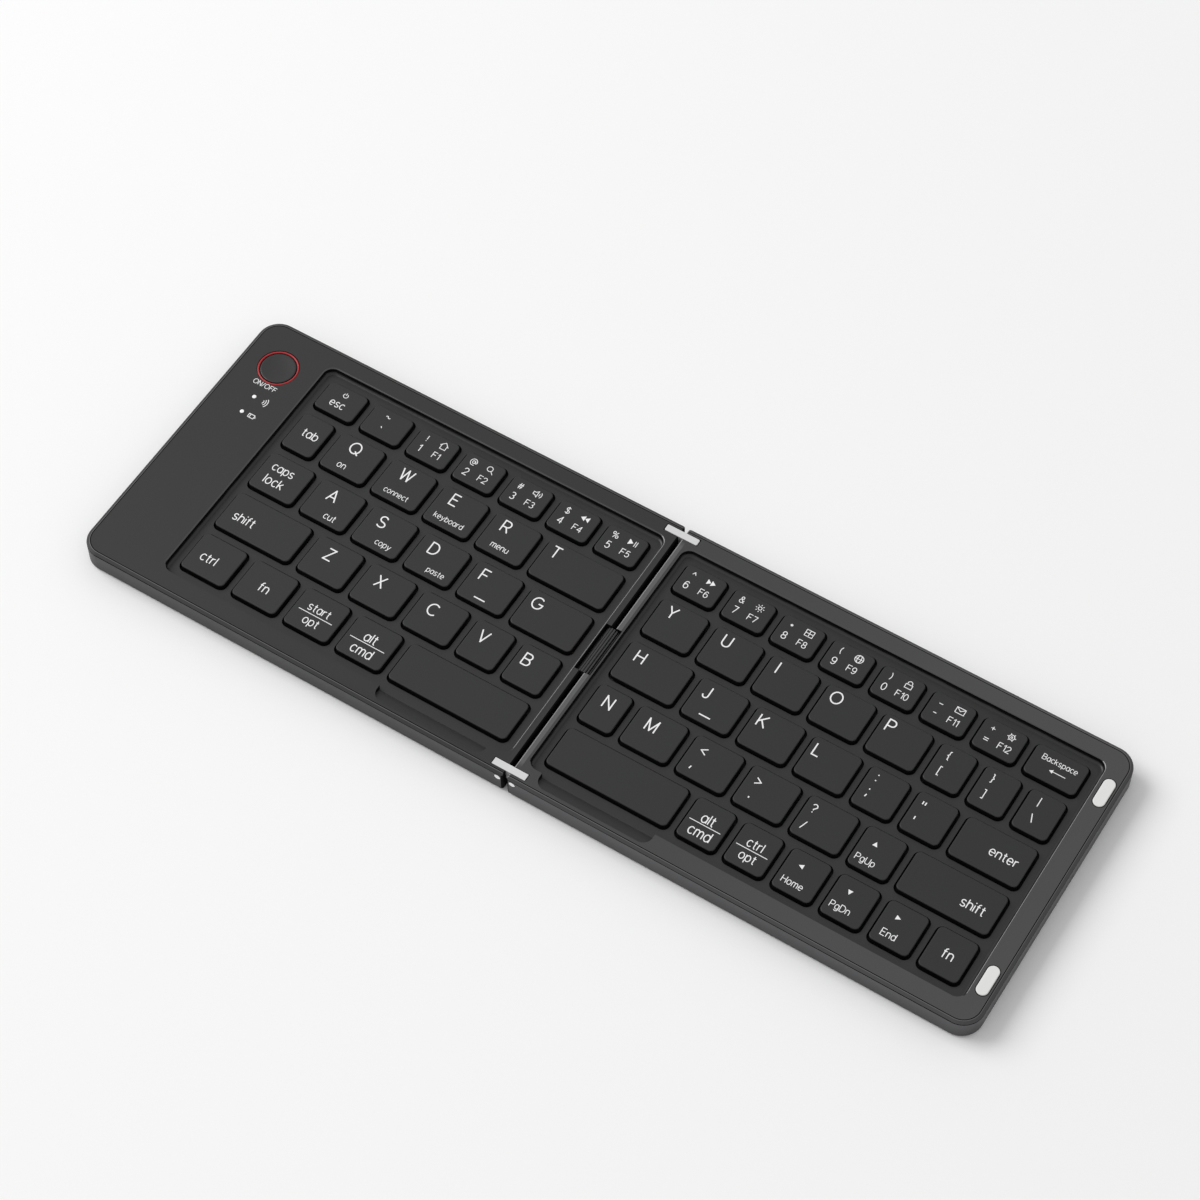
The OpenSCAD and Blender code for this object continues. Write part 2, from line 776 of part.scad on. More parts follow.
// Soft ribbed cover over the flat cable, with a tab under each half's web
module cable_sleeve() {
    rib_r = sleeve_half / 4;
    z_ribs = z_top - 0.4 - rib_r;
    color([0.15, 0.15, 0.15]) {
        translate([-sleeve_half, -sleeve_l / 2, z_tab])
            cube([2 * sleeve_half, sleeve_l, z_ribs - z_tab]);
        translate([-tab_reach, -sleeve_l / 2 + 1, z_tab]) cube([2 * tab_reach, sleeve_l - 2, tab_t]);
        for (i = [-1.5 : 1.5]) translate([2 * i * rib_r, 0, z_ribs])
            bar_y(rib_r, -sleeve_l / 2, sleeve_l / 2);
    }
}

module flex_cable() {
    end_l = 1.5;
    color([0.12, 0.11, 0.1]) {
        translate([-flex_reach, -flex_w / 2, z_flex]) cube([2 * flex_reach, flex_w, flex_t]);
        for (s = [-1, 1]) scale([s, 1, 1])
            translate([flex_reach - end_l, -flex_w / 2, z_sheet + seat_c])
                cube([end_l, flex_w, z_flex - z_sheet]);
    }
}

// Electronics at the left end

module battery() {
    color("lightsteelblue") on_side(LEFT)
        translate([u_hollow[0] + 0.2, battery_front, z_floor]) cube([battery_w, battery_l, battery_h]);
}

module main_board() {
    notch_w = socket_w + 0.4;
    chip_t = 0.9;
    color("seagreen") on_side(LEFT) {
        difference() {
            translate([u_board - board_w / 2, board_front, z_board])
                cube([board_w, board_l, board_t]);
            translate([u_board - notch_w / 2, socket_y - socket_l - 0.2, z_board - e])
                cube([notch_w, socket_l + 1, board_t + 2 * e]);
        }
        translate([u_button, button_y, 0]) slab(z_board_top - e, z_switch)
            square(switch_w, center = true);
        for (y = lens_y) translate([u_button, y, 0]) slab(z_board_top - e, z_led)
            square([1.6, 1], center = true);
        translate([u_board - board_w / 2 + 0.5, board_front + 2, z_board_top - e])
            cube([chip_w, chip_w, chip_t]);
    }
}

module charging_socket() {
    shell = 0.3;
    mouth = 0.8;
    depth = socket_l - 1;
    color("silver") on_side(LEFT) translate([u_board, socket_y, z_socket]) rotate([90, 0, 0]) {
        difference() {
            linear_extrude(socket_l) rounded(socket_w, socket_h, socket_h / 2 - e);
            translate([0, 0, -e]) linear_extrude(depth)
                rounded(socket_w - 2 * shell, socket_h - 2 * shell, socket_h / 2 - shell - e);
        }
        translate([0, 0, mouth]) linear_extrude(depth - mouth) square([6.7, 0.7], center = true);
    }
}

module power_button() {
    dish_r = (pow(button_r, 2) + pow(dish_depth, 2)) / (2 * dish_depth);
    z_button = z_top - 0.1;
    color([0.2, 0.2, 0.2]) on_side(LEFT) translate([u_button, button_y, 0]) {
        difference() {
            slab(z_flange - flange_drop, z_button) circle(button_r);
            translate([0, 0, z_button - dish_depth]) rotate_extrude() intersection() {
                translate([0, dish_r]) circle(dish_r, $fn = 720);
                square([button_r + 1, 1]);
            }
        }
        slab(z_flange - flange_drop, z_flange) circle(ring_r - 0.2);
        slab(z_switch + button_travel + seat_c, z_flange - flange_drop + e) circle(switch_w / 2);
    }
}

module button_ring() {
    color("crimson") on_side(LEFT) translate([u_button, button_y, 0])
        slab(z_top - ring_t, z_top) difference() {
            circle(ring_r);
            circle(ring_r - ring_w);
        }
}

module indicator_lenses() {
    color("white") on_side(LEFT) for (y = lens_y) translate([u_button, y, 0]) {
        slab(z_led + seat_c, z_top) circle(lens_r);
        slab(z_flange - flange_drop, z_flange) circle(lens_r + 0.5);
    }
}

// Closing magnets and pads

module magnets(z) {
    at_pads() slab(z, z + magnet_t) square([magnet_w, magnet_l], center = true);
}

module left_magnets() {
    color("gray") on_side(LEFT) magnets(z_panel_under - seat_c - magnet_t);
}

module right_magnets() {
    color("gray") on_side(RIGHT) magnets(z_under + seat_c);
}

module closing_pads() {
    color("white") on_side(RIGHT) at_pads()
        slab(z_top - pad_seat, z_top + pad_proud) rounded(pad_w, pad_l, pad_w / 2 - e);
}

// Feet and screws

module feet(side) {
    color([0.12, 0.12, 0.12]) on_side(side) at_feet()
        slab(0, z_case + foot_seat) rounded(foot_l, foot_w, foot_w / 2 - e);
}

module left_feet() feet(LEFT);
module right_feet() feet(RIGHT);

module screws(side) {
    color("gray") on_side(side) at_screws() difference() {
        union() {
            slab(z_case + seat_c, z_case + screw_head_t) circle(screw_head_r);
            slab(z_case + seat_c, z_under + screw_bite - seat_c) circle(screw_r);
        }
        slab(z_case, z_case + 0.4) {
            square([1.4, 0.3], center = true);
            square([0.3, 1.4], center = true);
        }
    }
}

module left_screws() screws(LEFT);
module right_screws() screws(RIGHT);

left_lower_case();
left_top_cover();
left_key_grid();
left_key_plate();
left_membrane();
left_dome_sheet();
left_scissors();
battery();
main_board();
charging_socket();
power_button();
button_ring();
indicator_lenses();
left_magnets();
left_feet();
left_screws();
left_hinge_pins();
left_function_keys();
left_upper_keys();
left_home_keys();
left_lower_keys();
left_modifier_keys();
esc_key();
tab_key();
caps_key();
left_shift_key();
ctrl_key();
left_space_key();
front_link();
rear_link();
cable_sleeve();
flex_cable();
right_lower_case();
right_top_cover();
right_key_grid();
right_key_plate();
right_membrane();
right_dome_sheet();
right_scissors();
right_magnets();
closing_pads();
right_feet();
right_screws();
right_hinge_pins();
right_function_keys();
right_upper_keys();
right_home_keys();
right_lower_keys();
right_modifier_keys();
backspace_key();
enter_key();
right_shift_key();
fn_key();
up_key();
arrow_left_key();
arrow_down_key();
arrow_right_key();
right_space_key();
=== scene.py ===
import itertools
import math
import bmesh
import bpy
from mathutils import Matrix, Vector


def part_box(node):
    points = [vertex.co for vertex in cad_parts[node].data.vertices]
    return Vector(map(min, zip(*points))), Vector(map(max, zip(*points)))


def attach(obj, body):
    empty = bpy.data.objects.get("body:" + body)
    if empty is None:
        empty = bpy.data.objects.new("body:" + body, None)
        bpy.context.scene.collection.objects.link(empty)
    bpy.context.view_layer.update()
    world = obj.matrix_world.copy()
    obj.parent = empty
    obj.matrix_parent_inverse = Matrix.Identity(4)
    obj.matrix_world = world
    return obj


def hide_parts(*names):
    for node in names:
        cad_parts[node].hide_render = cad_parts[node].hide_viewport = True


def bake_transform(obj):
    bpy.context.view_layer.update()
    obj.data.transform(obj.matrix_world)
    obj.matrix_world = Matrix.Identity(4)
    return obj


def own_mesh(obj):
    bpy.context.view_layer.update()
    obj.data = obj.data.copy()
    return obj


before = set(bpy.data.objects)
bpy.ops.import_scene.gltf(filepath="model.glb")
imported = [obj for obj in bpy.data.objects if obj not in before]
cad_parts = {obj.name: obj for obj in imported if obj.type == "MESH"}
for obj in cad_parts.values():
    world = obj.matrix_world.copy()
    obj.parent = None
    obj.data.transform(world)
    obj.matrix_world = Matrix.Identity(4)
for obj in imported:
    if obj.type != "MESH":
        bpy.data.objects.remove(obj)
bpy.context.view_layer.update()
MM = 0.001
scene = bpy.context.scene
scene.view_settings.view_transform = "Standard"

# The camera looks down on the open keyboard from the front right, as the photograph does.
# Its place and turn were worked out from the four corners of the top face.
camera_data = bpy.data.cameras.new("camera")
camera_data.lens = 98.55
camera_data.sensor_width = 36
camera_data.clip_start = 0.02
camera = bpy.data.objects.new("camera", camera_data)
scene.collection.objects.link(camera)
right = Vector((0.84885, 0.52862, -0.0020))
up = Vector((-0.44184, 0.71157, 0.54630))
ahead = Vector((-0.29021, 0.46285, -0.83759))
turn = Matrix((right, up, -ahead)).transposed()
camera.matrix_world = Matrix.Translation((0.26258, -0.41775, 0.78987)) @ turn.to_4x4()
scene.camera = camera

# The studio: a pale floor, an even pale surround, and one large soft box beyond the left end
# and half way up, whose short soft shadow falls past the right end.
floor_mesh = bpy.data.meshes.new("floor")
FLOOR_HALF = 4
floor_mesh.from_pydata([(x * FLOOR_HALF, y * FLOOR_HALF, 0) for x,
    y in ((-1, -1), (1, -1), (1, 1), (-1, 1))], [], [(0, 1, 2, 3)])
floor = bpy.data.objects.new("floor", floor_mesh)
scene.collection.objects.link(floor)


def link_nodes(tree, *pairs):
    for out, into in pairs:
        tree.links.new(out, into)


def feed(tree, socket, value):
    """Sets an input to a number or colour, or links it to a socket."""
    if isinstance(value, bpy.types.NodeSocket):
        tree.links.new(value, socket)
    else:
        socket.default_value = value


def math_of(tree, kind, *values):
    node = tree.nodes.new("ShaderNodeMath")
    node.operation = kind
    for socket, value in zip(node.inputs, values):
        feed(tree, socket, value)
    return node.outputs[0]


def blend_of(tree, factor, a, b, kind="MIX"):
    """Colour a turning into colour b as the factor goes from 0 to 1."""
    node = tree.nodes.new("ShaderNodeMix")
    node.data_type = "RGBA"
    node.blend_type = kind
    for name, value in (("Factor", factor), ("A", a), ("B", b)):
        feed(tree, node.inputs[name],
            value if name == "Factor" or not isinstance(value, tuple) else (*value, 1))
    return node.outputs["Result"]


def noise(tree, vector, scale, detail=2.0):
    node = tree.nodes.new("ShaderNodeTexNoise")
    for name, value in (("Vector", vector), ("Scale", scale), ("Detail", detail)):
        feed(tree, node.inputs[name], value)
    return node.outputs["Fac"]


def new_material(name, **shader):
    """A material, its tree, its shader and its Object coordinates. shader holds what is the same all over."""
    material = bpy.data.materials.new(name)
    material.use_nodes = True
    tree = material.node_tree
    surface = tree.nodes["Principled BSDF"]
    for socket, value in shader.items():
        surface.inputs[socket.replace("_", " ")].default_value = value
    return material, tree, surface, tree.nodes.new("ShaderNodeTexCoord").outputs["Object"]


paper, tree, surface, place = new_material("pale_floor", Roughness=0.9, Specular_IOR_Level=0.1)
feed(tree, surface.inputs["Base Color"],
    blend_of(tree, noise(tree, place, 3), (0.925, 0.925, 0.925), (0.935, 0.935, 0.935)))
floor_mesh.materials.append(paper)

world = bpy.data.worlds.new("studio")
scene.world = world
world.use_nodes = True
tree = world.node_tree
sky = tree.nodes["Background"]
sky.inputs["Color"].default_value = (1, 1, 1, 1)
sky.inputs["Strength"].default_value = 0.6
seen = tree.nodes.new("ShaderNodeBackground")
seen.inputs["Color"].default_value = (0.95, 0.95, 0.95, 1)
path = tree.nodes.new("ShaderNodeLightPath").outputs
direct = math_of(tree, "MAXIMUM", path["Is Camera Ray"], path["Is Glossy Ray"])
either = tree.nodes.new("ShaderNodeMixShader")
feed(tree, either.inputs["Fac"], math_of(tree, "MAXIMUM", direct, path["Is Transmission Ray"]))
link_nodes(tree, (sky.outputs[0], either.inputs[1]), (seen.outputs[0], either.inputs[2]),
    (either.outputs[0], tree.nodes["World Output"].inputs["Surface"]))

soft_box = bpy.data.lights.new("soft_box", "AREA")
soft_box.shape = "SQUARE"
soft_box.size = 2
soft_box.energy = 65
lamp = bpy.data.objects.new("soft_box", soft_box)
LAMP_AWAY = 3.2
aim = Vector((-0.735, -0.08, 0.672)) * LAMP_AWAY
lamp.matrix_world = Matrix.Translation(aim) @ aim.to_track_quat("Z", "Y").to_matrix().to_4x4()
scene.collection.objects.link(lamp)

# Lower cases: one moulded shell for each half, charcoal plastic with a fine matt grain. Its outer
# bottom edge is rounded, and the cover of the half closes it from above.


def new_group(name, inputs, outputs):
    """A shader group with named sockets. inputs are (name, default), and four numbers make a colour."""
    group = bpy.data.node_groups.new(name, "ShaderNodeTree")
    kinds = {4: "NodeSocketColor", 3: "NodeSocketVector"}
    for label, value in inputs:
        kind = kinds[len(value)] if isinstance(value, tuple) else "NodeSocketFloat"
        group.interface.new_socket(label, in_out="INPUT", socket_type=kind).default_value = value
    for label in outputs:
        kind = "NodeSocketColor" if label == "Colour" else "NodeSocketFloat"
        group.interface.new_socket(label, in_out="OUTPUT", socket_type=kind)
    return group, group.nodes.new("NodeGroupInput").outputs, group.nodes.new("NodeGroupOutput").inputs


def spread(tree, value, low, high, start=0.3, end=0.7):
    """value from start to end, spread over low to high. low and high are sockets or numbers."""
    node = tree.nodes.new("ShaderNodeMapRange")
    for name, given in (("Value", value), ("From Min", start), ("From Max", end), ("To Min", low),
        ("To Max", high)):
        feed(tree, node.inputs[name], given)
    return node.outputs["Result"]


# The spark-eroded grain that a face takes from its mould, with the faint cloudiness of handled plastic
moulded_grain, given, made = new_group("moulded_grain",
    [("Colour", (0.05, 0.05, 0.05, 1)), ("Cloudiness", 0.06),
    ("Roughness", 0.5), ("Roughness Spread", 0.05), ("Grains per Metre", 3000.0)],
    ["Colour", "Roughness", "Height"])
place = moulded_grain.nodes.new("ShaderNodeTexCoord").outputs["Object"]
patches = noise(moulded_grain, place, 38, 4)
grain = noise(moulded_grain, place, given["Grains per Metre"], 3)
both = math_of(moulded_grain, "ADD", math_of(moulded_grain, "MULTIPLY", patches, 0.6),
    math_of(moulded_grain, "MULTIPLY", grain, 0.4))
tone = spread(moulded_grain, both, math_of(moulded_grain, "SUBTRACT", 1, given["Cloudiness"]),
    math_of(moulded_grain, "ADD", 1, given["Cloudiness"]))
rough = spread(moulded_grain, patches,
    math_of(moulded_grain, "SUBTRACT", given["Roughness"], given["Roughness Spread"]),
    math_of(moulded_grain, "ADD", given["Roughness"], given["Roughness Spread"]))
link_nodes(moulded_grain, (blend_of(moulded_grain, 1.0, given["Colour"], tone, "MULTIPLY"), made["Colour"]),
    (rough, made["Roughness"]), (grain, made["Height"]))


def add_group(tree, group, surface, depth, **values):
    """Places a group in a material and feeds the shader from it. depth is its relief in millimetres."""
    node = tree.nodes.new("ShaderNodeGroup")
    node.node_tree = group
    for socket, value in values.items():
        feed(tree, node.inputs[socket.replace("_", " ")], value)
    bump = tree.nodes.new("ShaderNodeBump")
    bump.inputs["Distance"].default_value = depth * MM
    link_nodes(tree, (node.outputs["Colour"], surface.inputs["Base Color"]),
        (node.outputs["Roughness"], surface.inputs["Roughness"]),
        (node.outputs["Height"], bump.inputs["Height"]), (bump.outputs["Normal"], surface.inputs["Normal"]))


def grained(name, colour, roughness, depth=0.012, grains=3000.0, cloudiness=0.06, rough_spread=0.05,
        **shader):
    """A plastic, rubber or paint with the moulded grain. depth is in millimetres. The colour is one for the
    whole piece, or a function that makes it from the tree and the position."""
    shader.setdefault("Specular_IOR_Level", 0.35)
    material, tree, surface, place = new_material(name, **shader)
    tint = colour(tree, place) if callable(colour) else (*colour, 1)
    add_group(tree, moulded_grain, surface, depth, Colour=tint, Cloudiness=cloudiness, Roughness=roughness,
        Roughness_Spread=rough_spread, Grains_per_Metre=grains)
    return material


def axes_of(tree, place):
    """The X, Y and Z of a position."""
    node = tree.nodes.new("ShaderNodeSeparateXYZ")
    tree.links.new(place, node.inputs[0])
    return node.outputs


def moulding(node):
    """The CAD node as one closed skin of flat faces, in millimetres, ready for its edges to be rounded."""
    bm = bmesh.new()
    bm.from_mesh(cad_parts[node].data)
    bmesh.ops.scale(bm, vec=(1000, 1000, 1000), verts=bm.verts)
    bmesh.ops.remove_doubles(bm, verts=bm.verts, dist=0.001)
    bmesh.ops.dissolve_limit(bm, angle_limit=math.radians(0.5), verts=bm.verts, edges=bm.edges)
    for layer in list(bm.loops.layers.uv):
        bm.loops.layers.uv.remove(layer)
    for face in bm.faces:
        face.material_index = 0
    return bm


def round_edges(bm, picked, radius, segments=3, clamp=True):
    """Rounds the sharp edges whose two ends the test picks, and returns the new faces."""
    bm.normal_update()
    edges = [e for e in bm.edges if e.is_manifold and e.calc_face_angle(0) > 0.6
        and picked(e.verts[0].co, e.verts[1].co)]
    made = bmesh.ops.bevel(bm, geom=edges, offset=radius, segments=segments, profile=0.5, affect="EDGES",
        clamp_overlap=clamp)
    bm.normal_update()
    return made["faces"]


def paint(bm, index, picked):
    """Gives the material of that index to the faces whose middle and normal the test picks."""
    bm.normal_update()
    for face in bm.faces:
        if picked(face.calc_center_median(), face.normal):
            face.material_index = index


def paint_between(bm, index, picked):
    """Gives the material of that index to the faces whose every corner the test picks."""
    for face in bm.faces:
        if all(picked(v.co) for v in face.verts):
            face.material_index = index


def plain_mesh(obj):
    """The mesh of an object with its modifiers worked in."""
    graph = bpy.context.evaluated_depsgraph_get()
    return bpy.data.meshes.new_from_object(obj.evaluated_get(graph), preserve_all_data_layers=True,
        depsgraph=graph)


def as_piece(bm, name, materials, body, slot, *nodes):
    """Makes the mesh, in millimetres, a piece that rides on body and stands for the nodes. Its flat faces
    shade flat."""
    mesh = bpy.data.meshes.new(name)
    bmesh.ops.scale(bm, vec=(MM, MM, MM), verts=bm.verts)
    bm.to_mesh(mesh)
    bm.free()
    for material in materials:
        mesh.materials.append(material)
    mesh.shade_smooth()
    mesh.set_sharp_from_angle(angle=math.radians(32))
    piece = bpy.data.objects.new(name, mesh)
    scene.collection.objects.link(piece)
    even = piece.modifiers.new("even", "WEIGHTED_NORMAL")
    even.keep_sharp = True
    piece.data = plain_mesh(piece)
    piece.modifiers.clear()
    piece.data.name = name
    bpy.data.meshes.remove(mesh)
    if body:
        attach(piece, body)
    if nodes:
        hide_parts(*nodes)
    return piece


def corners(node):
    """Lowest and highest corner of a CAD node, in millimetres."""
    return (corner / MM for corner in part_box(node))


def middle_of(low, high):
    return (low.x + high.x) / 2, (low.y + high.y) / 2


# Painted shade: inner walls, grooves, gaps and the sides of the keys take this near-black, very matt
# charcoal, darker than the faces, for the shade that falls on them
painted_shade = grained("charcoal_in_the_gaps", (0.0035, 0.0035, 0.0035), 0.75, 0.01, Specular_IOR_Level=0.06)
HALVES = {"left": -1, "right": 1}
OUTER_R = 6.5
PIVOT = Vector((2.35, 6.0))
PIN_SEAT_R, SEAT_WIDER = 1.05, 0.08
SEAM_Z, SEAM_DROP = 6.9, 0.2


def from_edge(p, low, high):
    """How far a point lies inside the three outer sides of a half, whose corners are round."""
    end = (high.x - p.x) if high.x > 100 else (p.x - low.x)
    side = high.y - abs(p.y)
    if end < OUTER_R and side < OUTER_R:
        return OUTER_R - math.hypot(OUTER_R - end, OUTER_R - side)
    return min(end, side)


lower_shade = {"left": (0.042, 0.042, 0.044), "right": (0.056, 0.056, 0.059)}
for half in HALVES:
    low, high = corners(half + "_lower_case")
    bm = moulding(half + "_lower_case")
    round_edges(bm, lambda a, b: all(abs(p.z - low.z) < 0.01 and from_edge(p, low, high) < 0.02
        for p in (a, b)), 0.6)
    # Painted shade: the inner walls take the near-black of the gaps.
    paint(bm, 1, lambda p, n: abs(n.z) < 0.6 and from_edge(p, low, high) > 0.05 and p.z > low.z + 0.7)
    for v in bm.verts:
        out = Vector((abs(v.co.x) - PIVOT.x, v.co.z - PIVOT.y))
        if abs(out.length - PIN_SEAT_R) < 0.05 and abs(v.co.y) > high.y - 1:
            v.co.x += math.copysign(SEAT_WIDER * out.x, v.co.x)
            v.co.z += SEAT_WIDER * out.y
        if v.co.z > 6 and from_edge(v.co, low, high) < 0.1 and abs(v.co.x) > 1.5:
            v.co.z -= SEAM_DROP
    # Painted shade: the lip at the seam and the walls round the pin seats take it too.
    paint_between(bm, 1, lambda p: p.z > SEAM_Z)
    paint(bm, 1, lambda p, n: math.hypot(abs(p.x) - PIVOT.x, p.z - PIVOT.y) < 1.2 and abs(n.y) < 0.9)

    def wall_tint_painted_shade(tree, place):
        """Painted light and shade: darker near the table and lighter towards the seam."""
        climb = spread(tree, axes_of(tree, place)["Z"], 0, 1, 1 * MM, SEAM_Z * MM)
        return blend_of(tree, climb, *(tuple(c * share for c in lower_shade[half]) for share in (0.7, 1.2)))

    shell = grained(half + "_lower_plastic", wall_tint_painted_shade, 0.5, cloudiness=0.08)
    as_piece(bm, half + "_shell_below", [shell, painted_shade], half + "_half", "lower_case",
        half + "_lower_case")

# Top covers: the frame round the keys, moulded in the same plastic. Its outer edge slopes down to the
# seam, a fine line runs round the face, and a cove joins the wall of the key well to the plate below.


def skin(bm, loops):
    """Joins each loop of points to the next one with a row of faces."""
    for lower, upper in zip(loops, loops[1:]):
        for i in range(len(lower)):
            j = (i + 1) % len(lower)
            bm.faces.new((lower[i], lower[j], upper[j], upper[i]))


def chains(edges):
    """The edges sorted into rows of vertices that follow one another."""
    left = set(edges)
    rows = []
    while left:
        edge = left.pop()
        row = list(edge.verts)
        for end in (-1, 0):
            while True:
                found = next((e for e in row[end].link_edges if e in left), None)
                if not found:
                    break
                left.remove(found)
                row.insert(len(row) if end else 0, found.other_vert(row[end]))
        rows.append(row)
    return rows


def add_cove(bm, z, radius, picked):
    """Fills the inner corner at height z, below the walls that the test picks, with a hollow round."""
    bm.normal_update()
    walls = {}
    for edge in bm.edges:
        wall = next((f for f in edge.link_faces if abs(f.normal.z) < 0.3 and f.calc_center_median().z > z),
            None)
        if wall and all(abs(v.co.z - z) < 0.005 and picked(v.co) for v in edge.verts):
            walls[edge] = wall.normal.copy()
    section = [(-0.06, z - 0.06)]
    for i in range(7):
        a = math.radians(15 * i)
        section.append((radius * (1 - math.cos(a)), z + radius * (1 - math.sin(a))))
    for row in chains(walls):
        closed = row[0] is row[-1]
        loops = []
        for v in row[:-1] if closed else row:
            normals = [walls[e] for e in v.link_edges if e in walls]
            inward = sum(normals, Vector()).normalized()
            inward /= max(0.5, inward.dot(normals[0]))
            loops.append([bm.verts.new((v.co.x + inward.x * d, v.co.y + inward.y * d, h)) for d,
                h in section])
        skin(bm, loops + [loops[0]] if closed else loops)
        if not closed:
            bm.faces.new(loops[0])
            bm.faces.new(reversed(loops[-1]))


COVE = 0.95
grid_plastic = grained("grid_plastic", (0.0152, 0.0152, 0.0152), 0.52)


def cove_tint_painted_shade(tree, place):
    """Painted shade: black under the rim, and grey at the foot of the well."""
    depth = spread(tree, axes_of(tree, place)["Z"], 1, 0, 6.02 * MM, 6.75 * MM)
    return blend_of(tree, depth, (0.0035, 0.0035, 0.0035), (0.02, 0.02, 0.02))


cove_plastic = grained("cove_plastic", cove_tint_painted_shade, 0.28, 0.01, rough_spread=0.04, Specular_IOR_Level=0.3)
edge_plastic = grained("rubbed_edge", (0.02, 0.02, 0.02), 0.24, 0.001, rough_spread=0.03,
    Specular_IOR_Level=0.7)
# Painted highlight: a pale grey for the rim edges and the bevel that face the soft box, for the light they
# catch
painted_highlight_plastic = grained("worn_edge", (0.27, 0.27, 0.27), 0.35, 0.003, Specular_IOR_Level=0.6)
# The cover's tone near the hinge and at the end, the rise between them a painted light gradient, and how much
# lighter the strip along the hinge is, a painted highlight
cover_shade = {"left": ((0.0136, 0.0133, 0.0135), (0.0146, 0.0143, 0.0145)),
    "right": ((0.034, 0.034, 0.034), (0.0515, 0.0515, 0.0515))}
hinge_strip_highlight = {"left": 1.2, "right": 2.65}
SCOOP_D, NOTCH_X, NOTCH_Y, WELL_FRONT, SCOOP_IN = 4.2, 2.7, 8.7, 1.5, 3
# Distances from the outer edge, in millimetres: the fine line, where the slope ends, and its pale crest. The
# fine line and the slope are darkened as painted shade, and the crest is a painted highlight
LINE_FROM, LINE_TO, SLOPE_SHADE = 1.03, 1.33, 0.78
SLOPE_END, CREST_START, CREST_END = (0.78, 0.84), (0.84, 0.9), (1.02, 1.06)
for half, side in HALVES.items():
    low, high = corners(half + "_top_cover")
    grid_low, grid_high = corners(half + "_key_grid")
    bm = moulding(half + "_top_cover")

    def on_well(p):
        """True on the walls and the rim of the key well, the thumb scoop included."""
        notch = abs(p.x) < NOTCH_X and abs(p.y) < NOTCH_Y
        return grid_low.x < p.x < grid_high.x and grid_low.y - SCOOP_D < p.y < grid_high.y and not notch

    rim = round_edges(bm, lambda a, b: all(abs(p.z - high.z) < 0.005 and on_well(p)
        and p.y > grid_low.y + WELL_FRONT for p in (a, b)),
        0.4, 4, False)
    # Painted shade: the walls of the thumb scoop take the near-black of the gaps.
    paint(bm, 1, lambda p, n: abs(n.z) < 0.6 and grid_low.x < p.x < grid_high.x
        and p.y < grid_low.y + SCOOP_IN)
    # Painted highlight: rim faces turned to the soft box, and the arcs at the inner corners, take a pale
    # grey; the other rim faces take the glossy rubbed edge.
    for face in rim:
        into_corner = face.normal.x < -0.3 and face.normal.y < -0.3 and face.normal.z > 0.15
        face.material_index = 4 if into_corner or (face.normal.x < -0.25 and face.normal.z > 0.6) else 2
    # Painted shade: the walls of the well, the fine line round the face and the seam take the near-black of
    # the gaps.
    paint(bm, 1, lambda p, n: abs(n.z) < 0.6 and from_edge(p, low, high) > 0.05 and p.z < high.z - 0.2)
    paint_between(bm, 1, lambda p: LINE_FROM < from_edge(p, low, high) < LINE_TO
        or (p.z < high.z - 0.59 and from_edge(p, low, high) < 0.4))
    paint(bm, 5, lambda p, n: 0.5 < n.z < 0.97 and grid_low.x < p.x < grid_high.x
        and grid_low.y - 4.4 < p.y < grid_low.y + SCOOP_IN)
    # The bevels along the hinge gap: painted shade on the left half, a painted highlight on the right half,
    # which faces the soft box.
    paint(bm, 1 if half == "left" else 4, lambda p, n: abs(p.x) < 1.05 and 0.1 < n.z < 0.8 and abs(n.x) > 0.5)
    before = set(bm.faces)
    add_cove(bm, grid_high.z, COVE, lambda p: on_well(p) and p.y > grid_low.y + WELL_FRONT)
    for face in set(bm.faces) - before:
        face.material_index = 3
    bmesh.ops.recalc_face_normals(bm, faces=list(set(bm.faces) - before))

    def cover_tint_painted_light(tree, place):
        """Painted shade on the slope, a painted highlight along its crest and in the strip beside the hinge,
        and a painted light gradient, lighter from the hinge to the end.
        """
        axes = axes_of(tree, place)
        across, depth = (math_of(tree, "ABSOLUTE", axes[axis]) for axis in "XY")
        hinge_highlight = math_of(tree, "MULTIPLY", spread(tree, across, 1, 0, 2.15 * MM, 2.3 * MM),
            spread(tree, depth, 1, 0, 42 * MM, 44 * MM))
        beyond = []
        for value, straight in ((across, high.x if half == "right" else -low.x), (depth, high.y)):
            past = math_of(tree, "SUBTRACT", value, (straight - OUTER_R) * MM)
            beyond.append(math_of(tree, "POWER", math_of(tree, "MAXIMUM", past, 0.0), 2.0))
        inside = math_of(tree, "SUBTRACT", OUTER_R * MM, math_of(tree, "SQRT", math_of(tree, "ADD", *beyond)))
        slope = spread(tree, inside, SLOPE_SHADE, 1, *(d * MM for d in SLOPE_END))
        crest = math_of(tree, "MULTIPLY", spread(tree, inside, 0, 1, *(d * MM for d in CREST_START)),
            spread(tree, inside, 1, 0, *(d * MM for d in CREST_END)))
        tint, end_tint = cover_shade[half]
        face = blend_of(tree, spread(tree, across, 0, 1, 5 * MM, 115 * MM), tint, end_tint)
        face = blend_of(tree, hinge_highlight, face, tuple(c * hinge_strip_highlight[half] for c in tint))
        return blend_of(tree, crest, blend_of(tree, 1.0, face, slope, "MULTIPLY"), (0.1, 0.1, 0.1))

    cover = grained(half + "_cover_plastic", cover_tint_painted_light, 0.5)
    as_piece(bm, half + "_frame",
        [cover, painted_shade, edge_plastic, cove_plastic, painted_highlight_plastic, grid_plastic],
        half + "_half", "top_cover", half + "_top_cover")

